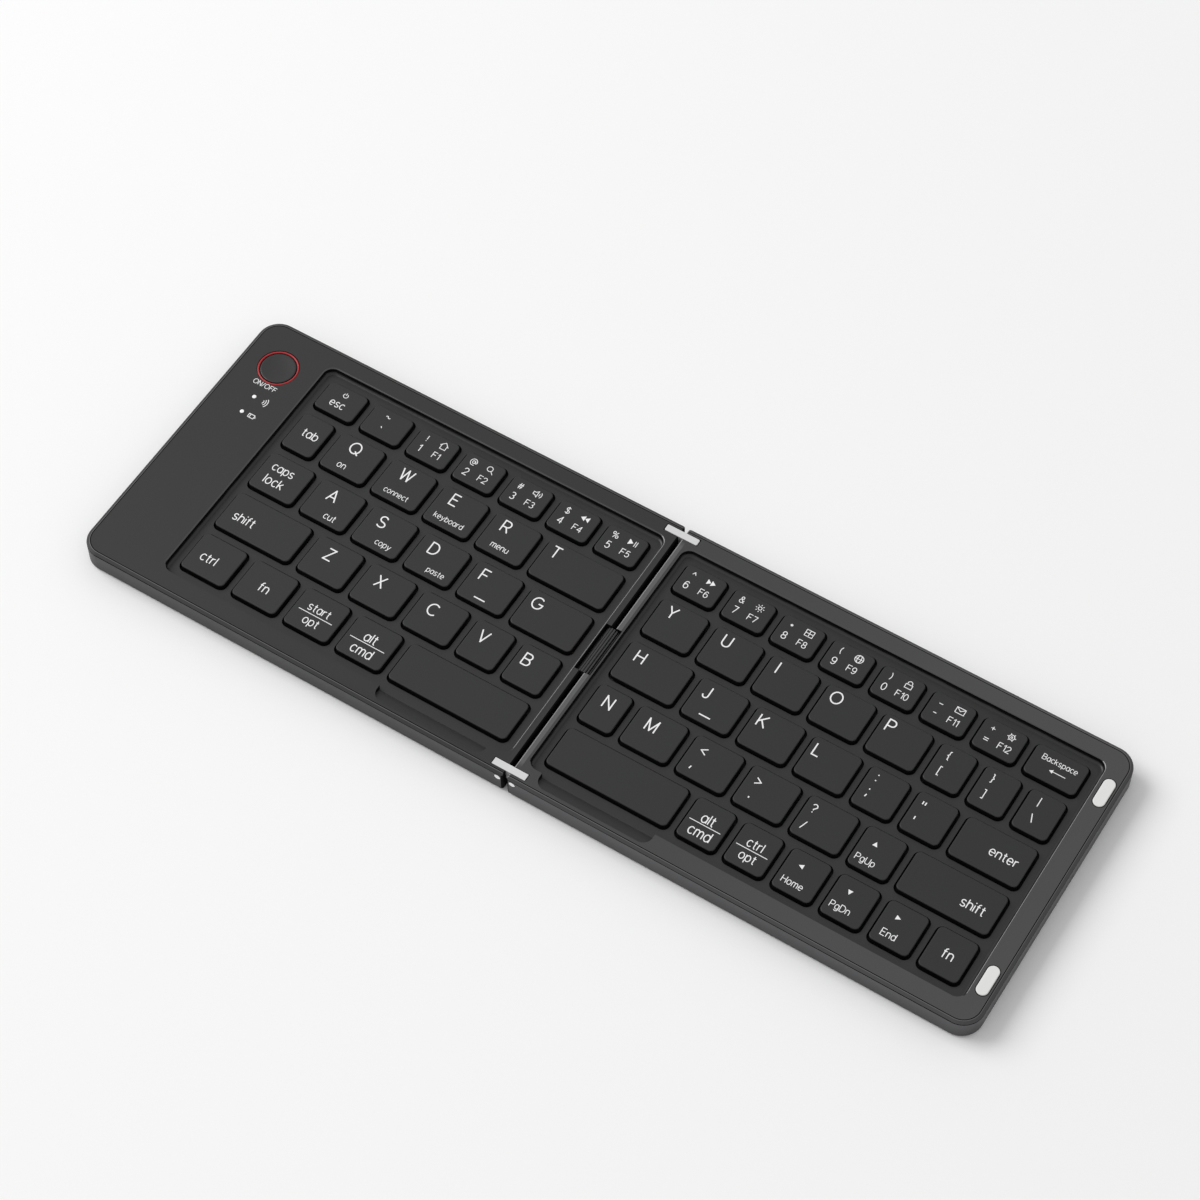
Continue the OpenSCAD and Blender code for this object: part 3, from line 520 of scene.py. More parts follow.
# Key grids: the plate between the keys of each half, moulded in charcoal plastic with one opening for each
# keycap, softened at its upper edge. It lies in the cover, on the pillars of the rubber sheet.
for half in HALVES:
    low, high = corners(half + "_key_grid")
    bm = moulding(half + "_key_grid")
    round_edges(bm, lambda a, b: all(abs(p.z - high.z) < 0.005 and low.x + 1 < p.x < high.x - 1
        and low.y + 1 < p.y < high.y - 1
        for p in (a, b)), 0.12, 2)
    # Painted shade: the walls of the openings take the near-black of the gaps.
    paint(bm, 1, lambda p, n: abs(n.z) < 0.5)
    as_piece(bm, half + "_grid", [grid_plastic, painted_shade], half + "_half", "top_cover",
        half + "_key_grid")

# Keycaps: hollow caps with a stem, moulded in matt charcoal with a rounded top edge. The legends are
# printed in white ink, one or two hundredths of a millimetre thick.
key_plastic = grained("keycap_plastic", (0.0122, 0.0122, 0.0125), 0.5, 0.01, 3400.0)
ink = grained("white_ink", (0.86, 0.86, 0.86), 0.45, 0.002, 5000.0, 0.03)
SKIRT, CORNER, FILLET, WALL, ROOF, STEM, INK = 5.5, 1.5, 0.34, 0.8, 0.8, 1.6, 0.004
ink_tops = itertools.cycle((0.004, 0.008, 0.012, 0.016))
SHARP_BEND, THINNEST, SIGN_LINE, BAR_LINE = 0.7, 0.19, 0.22, 0.4


def ring(bm, x, y, w, d, r, z, steps=5):
    """A loop of points round a rounded rectangle, anticlockwise from its lower right corner."""
    verts = []
    for corner, (sx, sy) in enumerate(((1, -1), (1, 1), (-1, 1), (-1, -1))):
        for i in range(steps + 1):
            a = math.radians(90 * corner - 90 + 90 * i / steps)
            verts.append(bm.verts.new((x + sx * (w / 2 - r) + r * math.cos(a),
                y + sy * (d / 2 - r) + r * math.sin(a), z)))
    return verts


def close_ends(bm, loops):
    bm.faces.new(reversed(loops[0]))
    bm.faces.new(loops[-1])


def keycap(bm, low, high):
    x, y = middle_of(low, high)
    w, d = high.x - low.x, high.y - low.y
    inner = (w - 2 * WALL, d - 2 * WALL, CORNER - WALL / 2)
    stem = (2 * STEM, 2 * STEM, STEM - 0.001)
    loops = [ring(bm, x, y, *stem, low.z), ring(bm, x, y, *stem, high.z - ROOF),
        ring(bm, x, y, *inner, high.z - ROOF),
        ring(bm, x, y, *inner, SKIRT), ring(bm, x, y, w, d, CORNER, SKIRT)]
    for i in range(5):
        a = math.radians(90 * i / 4)
        inset = FILLET * (1 - math.cos(a))
        loops.append(ring(bm, x, y, w - 2 * inset, d - 2 * inset, CORNER - inset,
            high.z - FILLET * (1 - math.sin(a))))
    start = len(bm.faces)
    skin(bm, loops)
    close_ends(bm, loops)
    bm.faces.ensure_lookup_table()
    # Painted shade: the sides of the cap below its rounded edge take the near-black of the gaps.
    for face in bm.faces[start:]:
        if face.calc_center_median().z < high.z - FILLET:
            face.material_index = 2


def islands(node):
    """The boxes of a node's separate solids, from left to right, in millimetres."""
    bm = moulding(node)
    left = set(bm.verts)
    found = []
    while left:
        stack = [left.pop()]
        group = list(stack)
        while stack:
            for e in stack.pop().link_edges:
                for v in e.verts:
                    if v in left:
                        left.remove(v)
                        stack.append(v)
                        group.append(v)
        found.append([Vector([pick(v.co[i] for v in group) for i in range(3)]) for pick in (min, max)])
    bm.free()
    return sorted(found, key=lambda box: (box[0].x, box[0].y))


def bow(x, y, rx, ry, start, end):
    """Points along an oval arc from one angle to another, a step every 18 degrees or less."""
    steps = max(2, math.ceil(abs(end - start) / 18))
    turns = [math.radians(start + (end - start) * i / steps) for i in range(steps + 1)]
    return [(x + rx * math.cos(a), y + ry * math.sin(a)) for a in turns]


def pen(bm, line, width, z):
    """Prints one line: a thin mitred ribbon that starts anew at sharp corners, a hair higher or lower."""
    points = [Vector(line[0])]
    for p in line[1:]:
        if (Vector(p) - points[-1]).length > 1e-3:
            points.append(Vector(p))
    runs = [[points[0], points[1]]]
    for a, b, c in zip(points, points[1:], points[2:]):
        if (b - a).angle(c - b) > SHARP_BEND:
            runs.append([b, c])
        else:
            runs[-1].append(c)
    for n, run in enumerate(runs):
        top = next(ink_tops)
        closed = (run[0] - run[-1]).length < 1e-3
        if n > 0:
            run[0] = run[0] + (run[0] - run[1]).normalized() * width / 2
        if n < len(runs) - 1:
            run[-1] = run[-1] + (run[-1] - run[-2]).normalized() * width / 2
        loops = []
        for i, p in enumerate(run):
            before = p - run[i - 1] if i else p - run[-2] if closed else run[1] - p
            after = run[i + 1] - p if i < len(run) - 1 else run[1] - p if closed else before
            along = before.normalized() + after.normalized()
            side = Vector((-along.y, along.x)).normalized() * width / 2
            loops.append([bm.verts.new((*(p + s * side), z + h)) for s,
                h in ((1, -INK), (-1, -INK), (-1, top), (1, top))])
        skin(bm, loops)
        close_ends(bm, loops)


def rays(r0, r1, count):
    turns = [2 * math.pi * i / count for i in range(int(count))]
    return [[(r0 * math.cos(a), r0 * math.sin(a)), (r1 * math.cos(a), r1 * math.sin(a))] for a in turns]


def strokes(table):
    """Reads a table of drawn characters, one a row: the name, then lines with a semicolon between.
    A line has points x,y and arcs oval:x,y,rx,ry,start,end. fill makes it a patch, rays: calls rays()."""
    drawn = {}
    for row in table.strip().splitlines():
        name, _, lines = row.partition(" ")
        drawn[name] = []
        for line in lines.split(";"):
            points = []
            for word in line.split():
                kind, _, numbers = word.rpartition(":")
                values = [float(n) for n in numbers.split(",")] if word != "fill" else None
                if kind == "rays":
                    drawn[name] += rays(*values)
                elif kind == "oval":
                    points += bow(*values)
                else:
                    points.append(tuple(values) if values else None)
            if points:
                drawn[name].append(points)
    return drawn


# The letters stand in a frame whose capitals are 1 high
LETTERS = strokes(r"""
A 0,0 .36,1 .72,0; .12,.34 .6,.34
B 0,0 0,1 .34,1 oval:.34,.765,.24,.235,90,-90 0,.53; .34,.53 oval:.36,.265,.26,.265,90,-90 0,0
C oval:.43,.5,.43,.5,48,312
D 0,0 0,1 .28,1 oval:.28,.5,.42,.5,90,-90 0,0
E .56,1 0,1 0,0 .58,0; 0,.53 .5,.53
F .56,1 0,1 0,0; 0,.52 .48,.52
G oval:.43,.5,.43,.5,48,330 .84,.47 .5,.47
H 0,0 0,1; .64,0 .64,1; 0,.52 .64,.52
I 0,0 0,1
J .42,1 .42,.24 oval:.21,.24,.21,.24,0,-180
K 0,0 0,1; .62,1 0,.36; .2,.58 .64,0
L 0,1 0,0 .5,0
M 0,0 0,1 .38,.06 .76,1 .76,0
N 0,0 0,1 .64,0 .64,1
O oval:.43,.5,.43,.5,0,360
P 0,0 0,1 .32,1 oval:.32,.725,.27,.275,90,-90 0,.45
Q oval:.43,.5,.43,.5,0,360; .54,.26 .86,-.05
R 0,0 0,1 .32,1 oval:.32,.725,.27,.275,90,-90 0,.45; .33,.45 .6,0
S oval:.31,.74,.27,.26,25,270 oval:.31,.24,.31,.24,90,-155
T 0,1 .66,1; .33,1 .33,0
U 0,1 0,.3 oval:.31,.3,.31,.3,180,360 .62,1
V 0,1 .35,0 .7,1
W 0,1 .25,0 .49,.95 .73,0 .98,1
X 0,0 .64,1; 0,1 .64,0
Y 0,1 .34,.45 .68,1; .34,.45 .34,0
Z .02,1 .6,1 0,0 .62,0
0 oval:.27,.5,.27,.5,0,360
1 .02,.78 .26,1 .26,0
2 oval:.28,.72,.27,.28,170,-35 0,0 .56,0
3 oval:.26,.755,.25,.245,150,-90; oval:.27,.255,.27,.255,90,-150
4 .42,0 .42,1 0,.3 .58,.3
5 .5,1 .1,1 .05,.53 oval:.27,.32,.27,.32,130,-150
6 oval:.28,.31,.27,.31,0,360; oval:.3,.5,.29,.5,190,45
7 0,1 .54,1 .2,0
8 oval:.27,.75,.23,.25,0,360; oval:.27,.26,.27,.26,0,360
9 oval:.27,.69,.27,.31,0,360; oval:.25,.5,.29,.5,10,-135
a oval:.26,.36,.26,.36,0,360; .52,.72 .52,0
b 0,1 0,0; oval:.26,.36,.26,.36,0,360
c oval:.26,.36,.26,.36,45,315
d oval:.26,.36,.26,.36,0,360; .52,1 .52,0
e .01,.36 .51,.36 oval:.26,.36,.26,.36,0,310
f .12,0 .12,.8 oval:.3,.8,.18,.2,180,85; 0,.7 .3,.7
g oval:.26,.36,.26,.36,0,360; .52,.72 .52,0 oval:.27,0,.25,.26,0,-150
h 0,1 0,0; oval:.24,.46,.24,.26,180,0 .48,0
i 0,0 0,.7; 0,.9 0,1.02
k 0,1 0,0; .42,.7 0,.28; .16,.43 .46,0
l 0,0 0,1
m 0,0 0,.72; oval:.19,.5,.19,.22,180,0 .38,0; oval:.57,.5,.19,.22,180,0 .76,0
n 0,0 0,.72; oval:.24,.46,.24,.26,180,0 .48,0
o oval:.27,.36,.27,.36,0,360
p 0,.72 0,-.27; oval:.26,.36,.26,.36,0,360
r 0,0 0,.72; oval:.24,.42,.24,.28,180,75
s oval:.22,.53,.2,.19,30,270 oval:.22,.17,.22,.17,90,-155
t .14,.95 .14,.16 oval:.28,.16,.14,.16,180,280; 0,.7 .32,.7
u 0,.7 0,.26 oval:.24,.26,.24,.26,180,360 .48,.7; .48,.3 .48,0
y 0,.7 .25,0; .5,.7 .2,-.12 .02,-.26
! 0,1 0,.3; 0,0 0,.12
" 0,1 0,.7; .24,1 .24,.7
' 0,1 0,.7
# .14,0 .28,1; .44,0 .58,1; 0,.33 .66,.33; .04,.67 .72,.67
$ oval:.31,.74,.27,.26,25,270 oval:.31,.24,.31,.24,90,-155; .31,1.12 .31,-.12
% oval:.18,.76,.17,.22,0,360; oval:.76,.24,.17,.22,0,360; .7,1 .22,0
& .7,0 .14,.7 oval:.31,.8,.18,.2,200,-60 oval:.27,.27,.27,.27,120,350 .64,.46
( oval:.6,.45,.6,.8,135,225
) oval:-.4,.45,.6,.8,45,-45
* 0,.7 .4,.7; .1,.53 .3,.87; .1,.87 .3,.53
+ 0,.4 .6,.4; .3,.1 .3,.7
= 0,.28 .6,.28; 0,.56 .6,.56
- 0,.4 .4,.4
_ 0,0 .6,0
, .06,.1 0,-.18
. 0,0 0,.12
/ 0,0 .36,1
\ 0,1 .36,0
| 0,1.1 0,-.2
: 0,0 0,.12; 0,.6 0,.72
; .04,.6 .04,.72; .06,.1 0,-.18
< .56,.74 0,.4 .56,.06
> 0,.74 .56,.4 0,.06
? oval:.25,.76,.24,.24,165,-50 .25,.42 .25,.28; .25,0 .25,.12
@ oval:.5,.45,.5,.55,300,0 .9,.3 .72,.3 .74,.68; oval:.5,.45,.2,.24,0,360
[ .22,1.05 0,1.05 0,-.15 .22,-.15
] 0,1.05 .22,1.05 .22,-.15 0,-.15
{ .28,1.05 .14,.97 .14,.58 0,.45 .14,.32 .14,-.07 .28,-.15
} 0,1.05 .14,.97 .14,.58 .28,.45 .14,.32 .14,-.07 0,-.15
^ 0,.6 .24,1 .48,.6
` 0,1 .18,.78
~ oval:.14,.38,.14,.13,180,0 oval:.42,.38,.14,.13,180,360
""")
SPACING = 0.2


def print_words(bm, text, x, y, height=None, width=None, z=0.0, weight=0.105):
    """Prints a word whose box is centred on x, y, with capitals that high or the whole word that wide."""
    lines = []
    start = 0
    for letter in text:
        strokes = LETTERS[letter]
        lines += [[(start + p[0], p[1]) for p in line] for line in strokes]
        start = max(p[0] for line in lines for p in line) + SPACING
    xs = [p[0] for line in lines for p in line]
    ys = [p[1] for line in lines for p in line]
    size = height or width / (max(xs) - min(xs))
    middle_x, middle_y = (min(xs) + max(xs)) / 2, (min(ys) + max(ys)) / 2
    for line in lines:
        pen(bm, [(x + size * (p[0] - middle_x), y + size * (p[1] - middle_y)) for p in line],
            max(THINNEST, weight * size), z)


def print_sign(bm, lines, x, y, size, z, width=SIGN_LINE):
    """Prints a drawn sign. A line that ends in None is a filled patch."""
    for line in lines:
        points = [(x + size * p[0] / 2, y + size * p[1] / 2) for p in line if p]
        if line[-1]:
            pen(bm, points, width, z)
        else:
            loops = [[bm.verts.new((*p, z + h)) for p in points] for h in (-INK, INK)]
            skin(bm, loops)
            close_ends(bm, loops)


# The signs stand in a square from -1 to 1
SIGNS = strokes("""
house -1,0 0,1 1,0; -.65,.3 -.65,-.9 .65,-.9 .65,.3
glass oval:-.2,.2,.65,.65,0,360; .28,-.28 .95,-.95
speaker -1,-.35 -.5,-.35 0,-.8 0,.8 -.5,.35 -1,.35 -1,-.35; oval:0,0,.5,.5,-45,45; oval:0,0,1,1,-45,45
back 0,.7 -1,0 0,-.7 0,.7 fill; 1,.7 .05,0 1,-.7 1,.7 fill
play -1,.75 -1,-.75 .1,0 -1,.75 fill; .5,.7 .5,-.7; .95,.7 .95,-.7
forward 0,.7 1,0 0,-.7 0,.7 fill; -1,.7 -.05,0 -1,-.7 -1,.7 fill
sun oval:0,0,.4,.4,0,360; rays:.7,1,8
grid -.9,-.8 .9,-.8 .9,.8 -.9,.8 -.9,-.8; 0,-.8 0,.8; -.9,0 .9,0
globe oval:0,0,.95,.95,0,360; -.95,0 .95,0; oval:0,0,.42,.95,0,360
padlock -.75,.05 .75,.05 .75,-.95 -.75,-.95 -.75,.05; -.5,.05 oval:0,.4,.5,.5,180,0 .5,.05
letter -1,-.7 1,-.7 1,.7 -1,.7 -1,-.7; -1,.7 0,-.1 1,.7
wheel oval:0,0,.62,.62,0,360; oval:0,0,.2,.2,0,360; rays:.7,1,6
left -1,0 .7,-.9 .7,.9 fill
right 1,0 -.7,.9 -.7,-.9 fill
up 0,1 -.9,-.7 .9,-.7 fill
down 0,-1 .9,.7 -.9,.7 fill
arrow 1,0 -.6,0; -1,0 -.55,-.25 -.55,.25 fill
bar -1,0 1,0
switch oval:0,0,.75,.75,125,415; 0,1 0,.2
battery -1,-.55 .7,-.55 .7,.55 -1,.55 -1,-.55; 1,.22 1,-.22; -.5,.5 -.5,-.5
wave oval:-.9,0,.7,.7,-42,42; oval:-.9,0,1.25,1.25,-42,42; oval:-.9,0,1.8,1.8,-42,42
""")


# Each cap's legends: (word or sign, X, Y, height), or (word, X, Y, None, width), in millimetres
def number_key(x, upper, lower, sign, name):
    """A key of the top row: shifted sign over digit at the left, picture over function name at the right."""
    lift = {"_": -0.6, "^": 0.5}.get(upper, 0)
    return [(upper, x - 3.3, 36.1 + lift, 2.1), (lower, x - 3.5, 32.1, 2.4), (sign, x + 2.4, 36.2, 2.7),
        (name, x + 2.2, 32.1, 2.1)]


def stacked(x, upper, lower, upper_w, lower_w, bar_w):
    """A key with one word over another, and a line between them."""
    return [(upper, x, -30.4, None, upper_w), ("bar", x, -32.6, bar_w), (lower, x, -35.2, None, lower_w)]


def capital(letter, x, y, *more):
    return [(letter, x, y, 3.9), *more]


def capitals(y, **places):
    """Keys of one row that have a capital alone."""
    return [capital(letter, x, y) for letter, x in places.items()]


LEGENDS = {
    "esc_key": [[("esc", -111.2, 32.2, None, 4.6), ("switch", -110.7, 36.2, 2.0)]],
    "left_function_keys": [[("~", -95.6, 36.3, 2.4), ("`", -95.4, 32.3, 2.4)],
        number_key(-78.2, "!", "1", "house", "F1"),
        number_key(-62.0, "@", "2", "glass", "F2"), number_key(-45.7, "#", "3", "speaker", "F3"),
        number_key(-29.4, "$", "4", "back", "F4"), number_key(-13.2, "%", "5", "play", "F5")],
    "right_function_keys": [number_key(13.1, "^", "6", "forward", "F6"),
        number_key(29.2, "&", "7", "sun", "F7"),
        number_key(45.4, "*", "8", "grid", "F8"), number_key(61.5, "(", "9", "globe", "F9"),
        number_key(77.6, ")", "0", "padlock", "F10"),
        number_key(93.8, "_", "-", "letter", "F11"), number_key(109.9, "+", "=", "wheel", "F12")],
    "backspace_key": [[("Backspace", 127.7, 35.4, None, 10.6), ("arrow", 128.4, 32.4, 5.0)]],
    "tab_key": [[("tab", -111.5, 19.0, None, 5.0)]],
    "left_upper_keys": [capital("Q", -97.4, 21.8, ("on", -97.6, 14.6, None, 2.6)),
        capital("W", -79.3, 21.8, ("connect", -78.3, 14.6, None, 8.0)),
        capital("E", -62.5, 21.8, ("keyboard", -60.2, 14.6, None, 9.6)),
        capital("R", -44.8, 21.8, ("menu", -42.6, 14.6, None, 5.6)),
        capital("T", -27.9, 21.8)],
    "caps_key": [[("caps", -110.8, 3.5, None, 7.0), ("lock", -110.9, -0.6, None, 6.2)]],
    "left_home_keys": [capital("A", -93.4, 4.4, ("cut", -90.0, -2.4, None, 3.6)),
        capital("S", -76.0, 4.4, ("copy", -71.6, -2.6, None, 5.0)),
        capital("D", -58.2, 4.4, ("paste", -53.4, -2.6, None, 5.6)),
        capital("F", -40.9, 4.4, ("bar", -37.9, -3.2, 3.6)), capital("G", -22.9, 4.4)],
    "left_shift_key": [[("shift", -110.5, -16.0, None, 6.8)]],
    "left_lower_keys": capitals(-13.1, Z=-82.6, X=-65.0, C=-47.2, V=-29.9, B=-15.3),
    "ctrl_key": [[("ctrl", -111.3, -32.4, None, 4.9)]],
    "left_modifier_keys": [[("fn", -92.0, -32.4, None, 3.0)],
        stacked(-74.2, "start", "opt", 7.0, 4.8, 11.3), stacked(-56.5, "alt", "cmd", 3.8, 6.6, 11.6)],
    "left_space_key": [[]],
    "right_upper_keys": [*capitals(21.8, Y=11.2, U=29.3, I=45.9, O=64.8, P=82.1),
        [("{", 100.4, 21.9, 2.5), ("[", 100.4, 16.3, 2.5)],
        [("}", 114.1, 21.9, 2.5), ("]", 114.1, 16.3, 2.5)],
        [("|", 128.4, 22.0, 2.4), ("\\", 128.9, 16.5, 2.7)]],
    "right_home_keys": [capital("H", 11.3, 4.4), capital("J", 33.2, 4.4, ("bar", 36.5, -2.8, 3.6)),
        *capitals(4.4, K=51.1, L=68.7),
        [(":", 87.0, 5.3, 3.2), (";", 86.9, -0.1, 3.2)], [("\"", 101.9, 5.1, 3.4), ("'", 101.7, -0.2, 3.4)]],
    "enter_key": [[("enter", 128.2, 1.8, None, 8.3)]],
    "right_lower_keys": [*capitals(-13.1, N=11.6, M=25.7), [("<", 42.2, -12.5, 3.0), (",", 41.5, -18.8, 3.4)],
        [(">", 59.9, -12.9, 3.0), (".", 60.0, -18.5, 4.0)],
        [("?", 77.1, -12.2, 2.8), ("/", 77.1, -18.1, 2.7)]],
    "up_key": [[("up", 96.8, -13.1, 1.7), ("PgUp", 96.7, -19.0, None, 5.8)]],
    "right_shift_key": [[("shift", 128.3, -15.8, None, 6.8)]],
    "right_space_key": [[]],
    "right_modifier_keys": [stacked(54.5, "alt", "cmd", 3.8, 6.6, 9.8),
        stacked(69.3, "ctrl", "opt", 4.6, 4.8, 9.8)],
    "arrow_left_key": [[("left", 83.1, -29.5, 1.7), ("Home", 83.5, -35.2, None, 6.3)]],
    "arrow_down_key": [[("down", 98.1, -29.5, 1.7), ("PgDn", 98.1, -35.2, None, 5.9)]],
    "arrow_right_key": [[("right", 112.9, -29.5, 1.7), ("End", 113.1, -35.1, None, 4.3)]],
    "fn_key": [[("fn", 129.5, -32.0, None, 3.0)]],
}
for node, caps in LEGENDS.items():
    bm = bmesh.new()
    for (low, high), legends in zip(islands(node), caps, strict=True):
        keycap(bm, low, high)
        start = len(bm.faces)
        z = high.z + INK / 2
        for text, x, y, height, *width in legends:
            if text in SIGNS:
                print_sign(bm, SIGNS[text], x, y, height, z,
                    BAR_LINE if text == "bar" and height < 5 else SIGN_LINE)
            else:
                print_words(bm, text, x, y, height, *width, z=z)
        bm.faces.ensure_lookup_table()
        for face in bm.faces[start:]:
            face.material_index = 1
    bmesh.ops.recalc_face_normals(bm, faces=bm.faces)
    as_piece(bm, node + "_caps", [key_plastic, ink, painted_shade], node, "keycap_plastic", node)

# Under the keys of each half: a steel plate, a printed contact membrane, a sheet with one rubber dome for
# each key, and a pair of folding plastic frames that keeps each cap level.


def finish_node(node, material):
    """A CAD node whose shape is right keeps it, and takes this material."""
    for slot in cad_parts[node].material_slots:
        slot.material = material


# Fine parallel scratches, as rolling, turning or a brush leaves them on bare metal
drawn_metal, given, made = new_group("drawn_metal",
    [("Colour", (0.6, 0.6, 0.6, 1)), ("Stretch", (60.0, 4000.0, 4000.0)),
    ("Roughness", 0.3), ("Contrast", 0.12)], ["Colour", "Roughness", "Height"])
place = drawn_metal.nodes.new("ShaderNodeTexCoord").outputs["Object"]
stretched = drawn_metal.nodes.new("ShaderNodeVectorMath")
stretched.operation = "MULTIPLY"
link_nodes(drawn_metal, (place, stretched.inputs[0]), (given["Stretch"], stretched.inputs[1]))
lines = noise(drawn_metal, stretched.outputs[0], 1, 3)
tone = spread(drawn_metal, lines, math_of(drawn_metal, "SUBTRACT", 1, given["Contrast"]), 1)
rough = math_of(drawn_metal, "ADD", given["Roughness"], spread(drawn_metal, lines, -0.06, 0.08))
link_nodes(drawn_metal, (blend_of(drawn_metal, 1.0, given["Colour"], tone, "MULTIPLY"), made["Colour"]),
    (rough, made["Roughness"]),
    (lines, made["Height"]))


def metal(name, colour, roughness, stretch=(60.0, 4000.0, 4000.0), depth=0.002, contrast=0.12):
    material, tree, surface, place = new_material(name, Metallic=1.0)
    add_group(tree, drawn_metal, surface, depth, Colour=(*colour, 1), Stretch=stretch, Roughness=roughness,
        Contrast=contrast)
    return material


# The membrane is clear film with rows of printed silver tracks
film, tree, surface, place = new_material("contact_film", Roughness=0.3)
tracks = tree.nodes.new("ShaderNodeTexBrick")
for name, value in (("Scale", 120.0), ("Mortar Size", 0.03), ("Color1", (0.55, 0.57, 0.55, 1)),
        ("Color2", (0.5, 0.52, 0.5, 1)), ("Mortar", (0.2, 0.2, 0.21, 1))):
    tracks.inputs[name].default_value = value
link_nodes(tree, (place, tracks.inputs["Vector"]), (tracks.outputs["Color"], surface.inputs["Base Color"]))
finishes = {"key_plate": metal("rolled_steel", (0.5, 0.5, 0.5), 0.38), "membrane": film}
# The rubber sheet and domes are black silicone and the scissors near-black plastic; this near-black also
# stands for the shade in the gaps between the keys.
silicone = grained("black_silicone", (0.012, 0.012, 0.012), 0.6, 0.004, 2500.0, 0.1, Specular_IOR_Level=0.15)
scissor_plastic = grained("scissor_plastic", (0.01, 0.01, 0.01), 0.5, 0.003, 3500.0, Specular_IOR_Level=0.15)


def new_tree(name, inputs):
    """A Geometry Nodes tree with named inputs, a float, vector, bool, int or material each."""
    tree = bpy.data.node_groups.new(name, "GeometryNodeTree")
    kinds = {float: "Float", int: "Int", bool: "Bool", tuple: "Vector"}
    tree.interface.new_socket("Geometry", in_out="INPUT", socket_type="NodeSocketGeometry")
    for label, value in inputs:
        kind = kinds[type(value)] if value is not None else "Material"
        socket = tree.interface.new_socket(label, in_out="INPUT", socket_type="NodeSocket" + kind)
        if value is not None:
            socket.default_value = value
    tree.interface.new_socket("Geometry", in_out="OUTPUT", socket_type="NodeSocketGeometry")
    return tree, tree.nodes.new("NodeGroupInput").outputs, tree.nodes.new("NodeGroupOutput").inputs[0]


def step(tree, kind, out=0, **inputs):
    """Adds a node, sets or links its inputs, and returns an output. A list links several geometries."""
    node = tree.nodes.new("GeometryNode" + kind if not kind.startswith("Function") else kind)
    for name, value in inputs.items():
        socket = node.inputs[name.replace("_", " ")]
        for each in value if isinstance(value, list) else [value]:
            feed(tree, socket, each)
    return node.outputs[out]


def vector_of(tree, x=0.0, y=0.0, z=0.0):
    node = tree.nodes.new("ShaderNodeCombineXYZ")
    for socket, value in zip(node.inputs, (x, y, z)):
        feed(tree, socket, value)
    return node.outputs[0]


def moved(tree, geometry, x=0.0, y=0.0, z=0.0):
    return step(tree, "Transform", Geometry=geometry, Translation=vector_of(tree, x, y, z))


def times(tree, a, b):
    return math_of(tree, "MULTIPLY", a, b)


def stand(tree, points, instance, finish, made, **more):
    """Stands a copy of the instance on each point, as real mesh with its finish, and ends the tree."""
    copies = step(tree, "InstanceOnPoints", Points=points, Instance=instance, **more)
    solid = step(tree, "RealizeInstances", Geometry=copies)
    link_nodes(tree, (step(tree, "SetMaterial", Geometry=solid, Material=finish), made))


def grow(tree, points, **settings):
    """Runs a tree on a row of points, in millimetres, and returns its result as a plain mesh."""
    base = bpy.data.meshes.new(tree.name)
    base.from_pydata([tuple(p) for p in points], [], [])
    maker = bpy.data.objects.new(tree.name, base)
    scene.collection.objects.link(maker)
    modifier = maker.modifiers.new("grow", "NODES")
    modifier.node_group = tree
    for item in tree.interface.items_tree:
        if item.in_out == "INPUT" and item.name.replace(" ", "_") in settings:
            modifier[item.identifier] = settings[item.name.replace(" ", "_")]
    bpy.context.view_layer.update()
    mesh = plain_mesh(maker)
    bpy.data.objects.remove(maker)
    return mesh


# A dome is a flared skirt below a straight neck. A scissor is a wide and a narrow frame, crossed on two pins.
domes, given, made = new_tree("rubber_domes", [("Foot Radius", 2.3), ("Neck Radius", 1.7),
    ("Skirt Height", 1.3), ("Neck Height", 0.6), ("Finish", None)])
skirt = step(domes, "MeshCone", Vertices=32, Radius_Top=given["Neck Radius"],
    Radius_Bottom=given["Foot Radius"],
    Depth=given["Skirt Height"])
neck = step(domes, "MeshCylinder", Vertices=32, Radius=given["Neck Radius"], Depth=given["Neck Height"])
neck_z = math_of(domes, "ADD", given["Skirt Height"], times(domes, given["Neck Height"], 0.49))
dome = step(domes, "JoinGeometry", Geometry=[skirt, moved(domes, neck, z=neck_z)])
stand(domes, given["Geometry"], dome, given["Finish"], made)

QUARTER = math.pi / 2
crossed, given, made = new_tree("crossed_frames",
    [("Outer Width", 8.4), ("Inner Width", 6.6), ("Length", 8.4),
    ("Bar", 0.7), ("Tilt", 0.3), ("Finish", None)])
bar, half_bar = given["Bar"], times(crossed, given["Bar"], 0.5)
reach = times(crossed, math_of(crossed, "SUBTRACT", given["Length"], bar), 0.5)
parts = []
for width, sign in ((given["Outer Width"], 1), (given["Inner Width"], -1)):
    arm = times(crossed, math_of(crossed, "SUBTRACT", width, bar), 0.5)
    rod = step(crossed, "MeshCylinder", Vertices=16, Radius=half_bar, Depth=width)
    rod = step(crossed, "Transform", Geometry=rod, Rotation=(0.0, QUARTER, 0.0))
    long_bar = step(crossed, "MeshCube", Size=vector_of(crossed, bar, given["Length"], bar))
    sides = []
    for side in (1.0, -1.0):
        sides.append(moved(crossed, rod, y=times(crossed, reach, side)))
        sides.append(moved(crossed, long_bar, x=times(crossed, arm, side)))
    tilt = vector_of(crossed, x=times(crossed, given["Tilt"], float(sign)))
    parts.append(step(crossed, "Transform", Geometry=step(crossed, "JoinGeometry", Geometry=sides),
        Rotation=tilt))
pivot_x = math_of(crossed, "SUBTRACT", times(crossed, given["Outer Width"], 0.5), bar)
pivot = step(crossed, "MeshCylinder", Vertices=16, Radius=times(crossed, bar, 0.3),
    Depth=times(crossed, bar, 2.0))
pivot = step(crossed, "Transform", Geometry=pivot, Rotation=(0.0, QUARTER, 0.0))
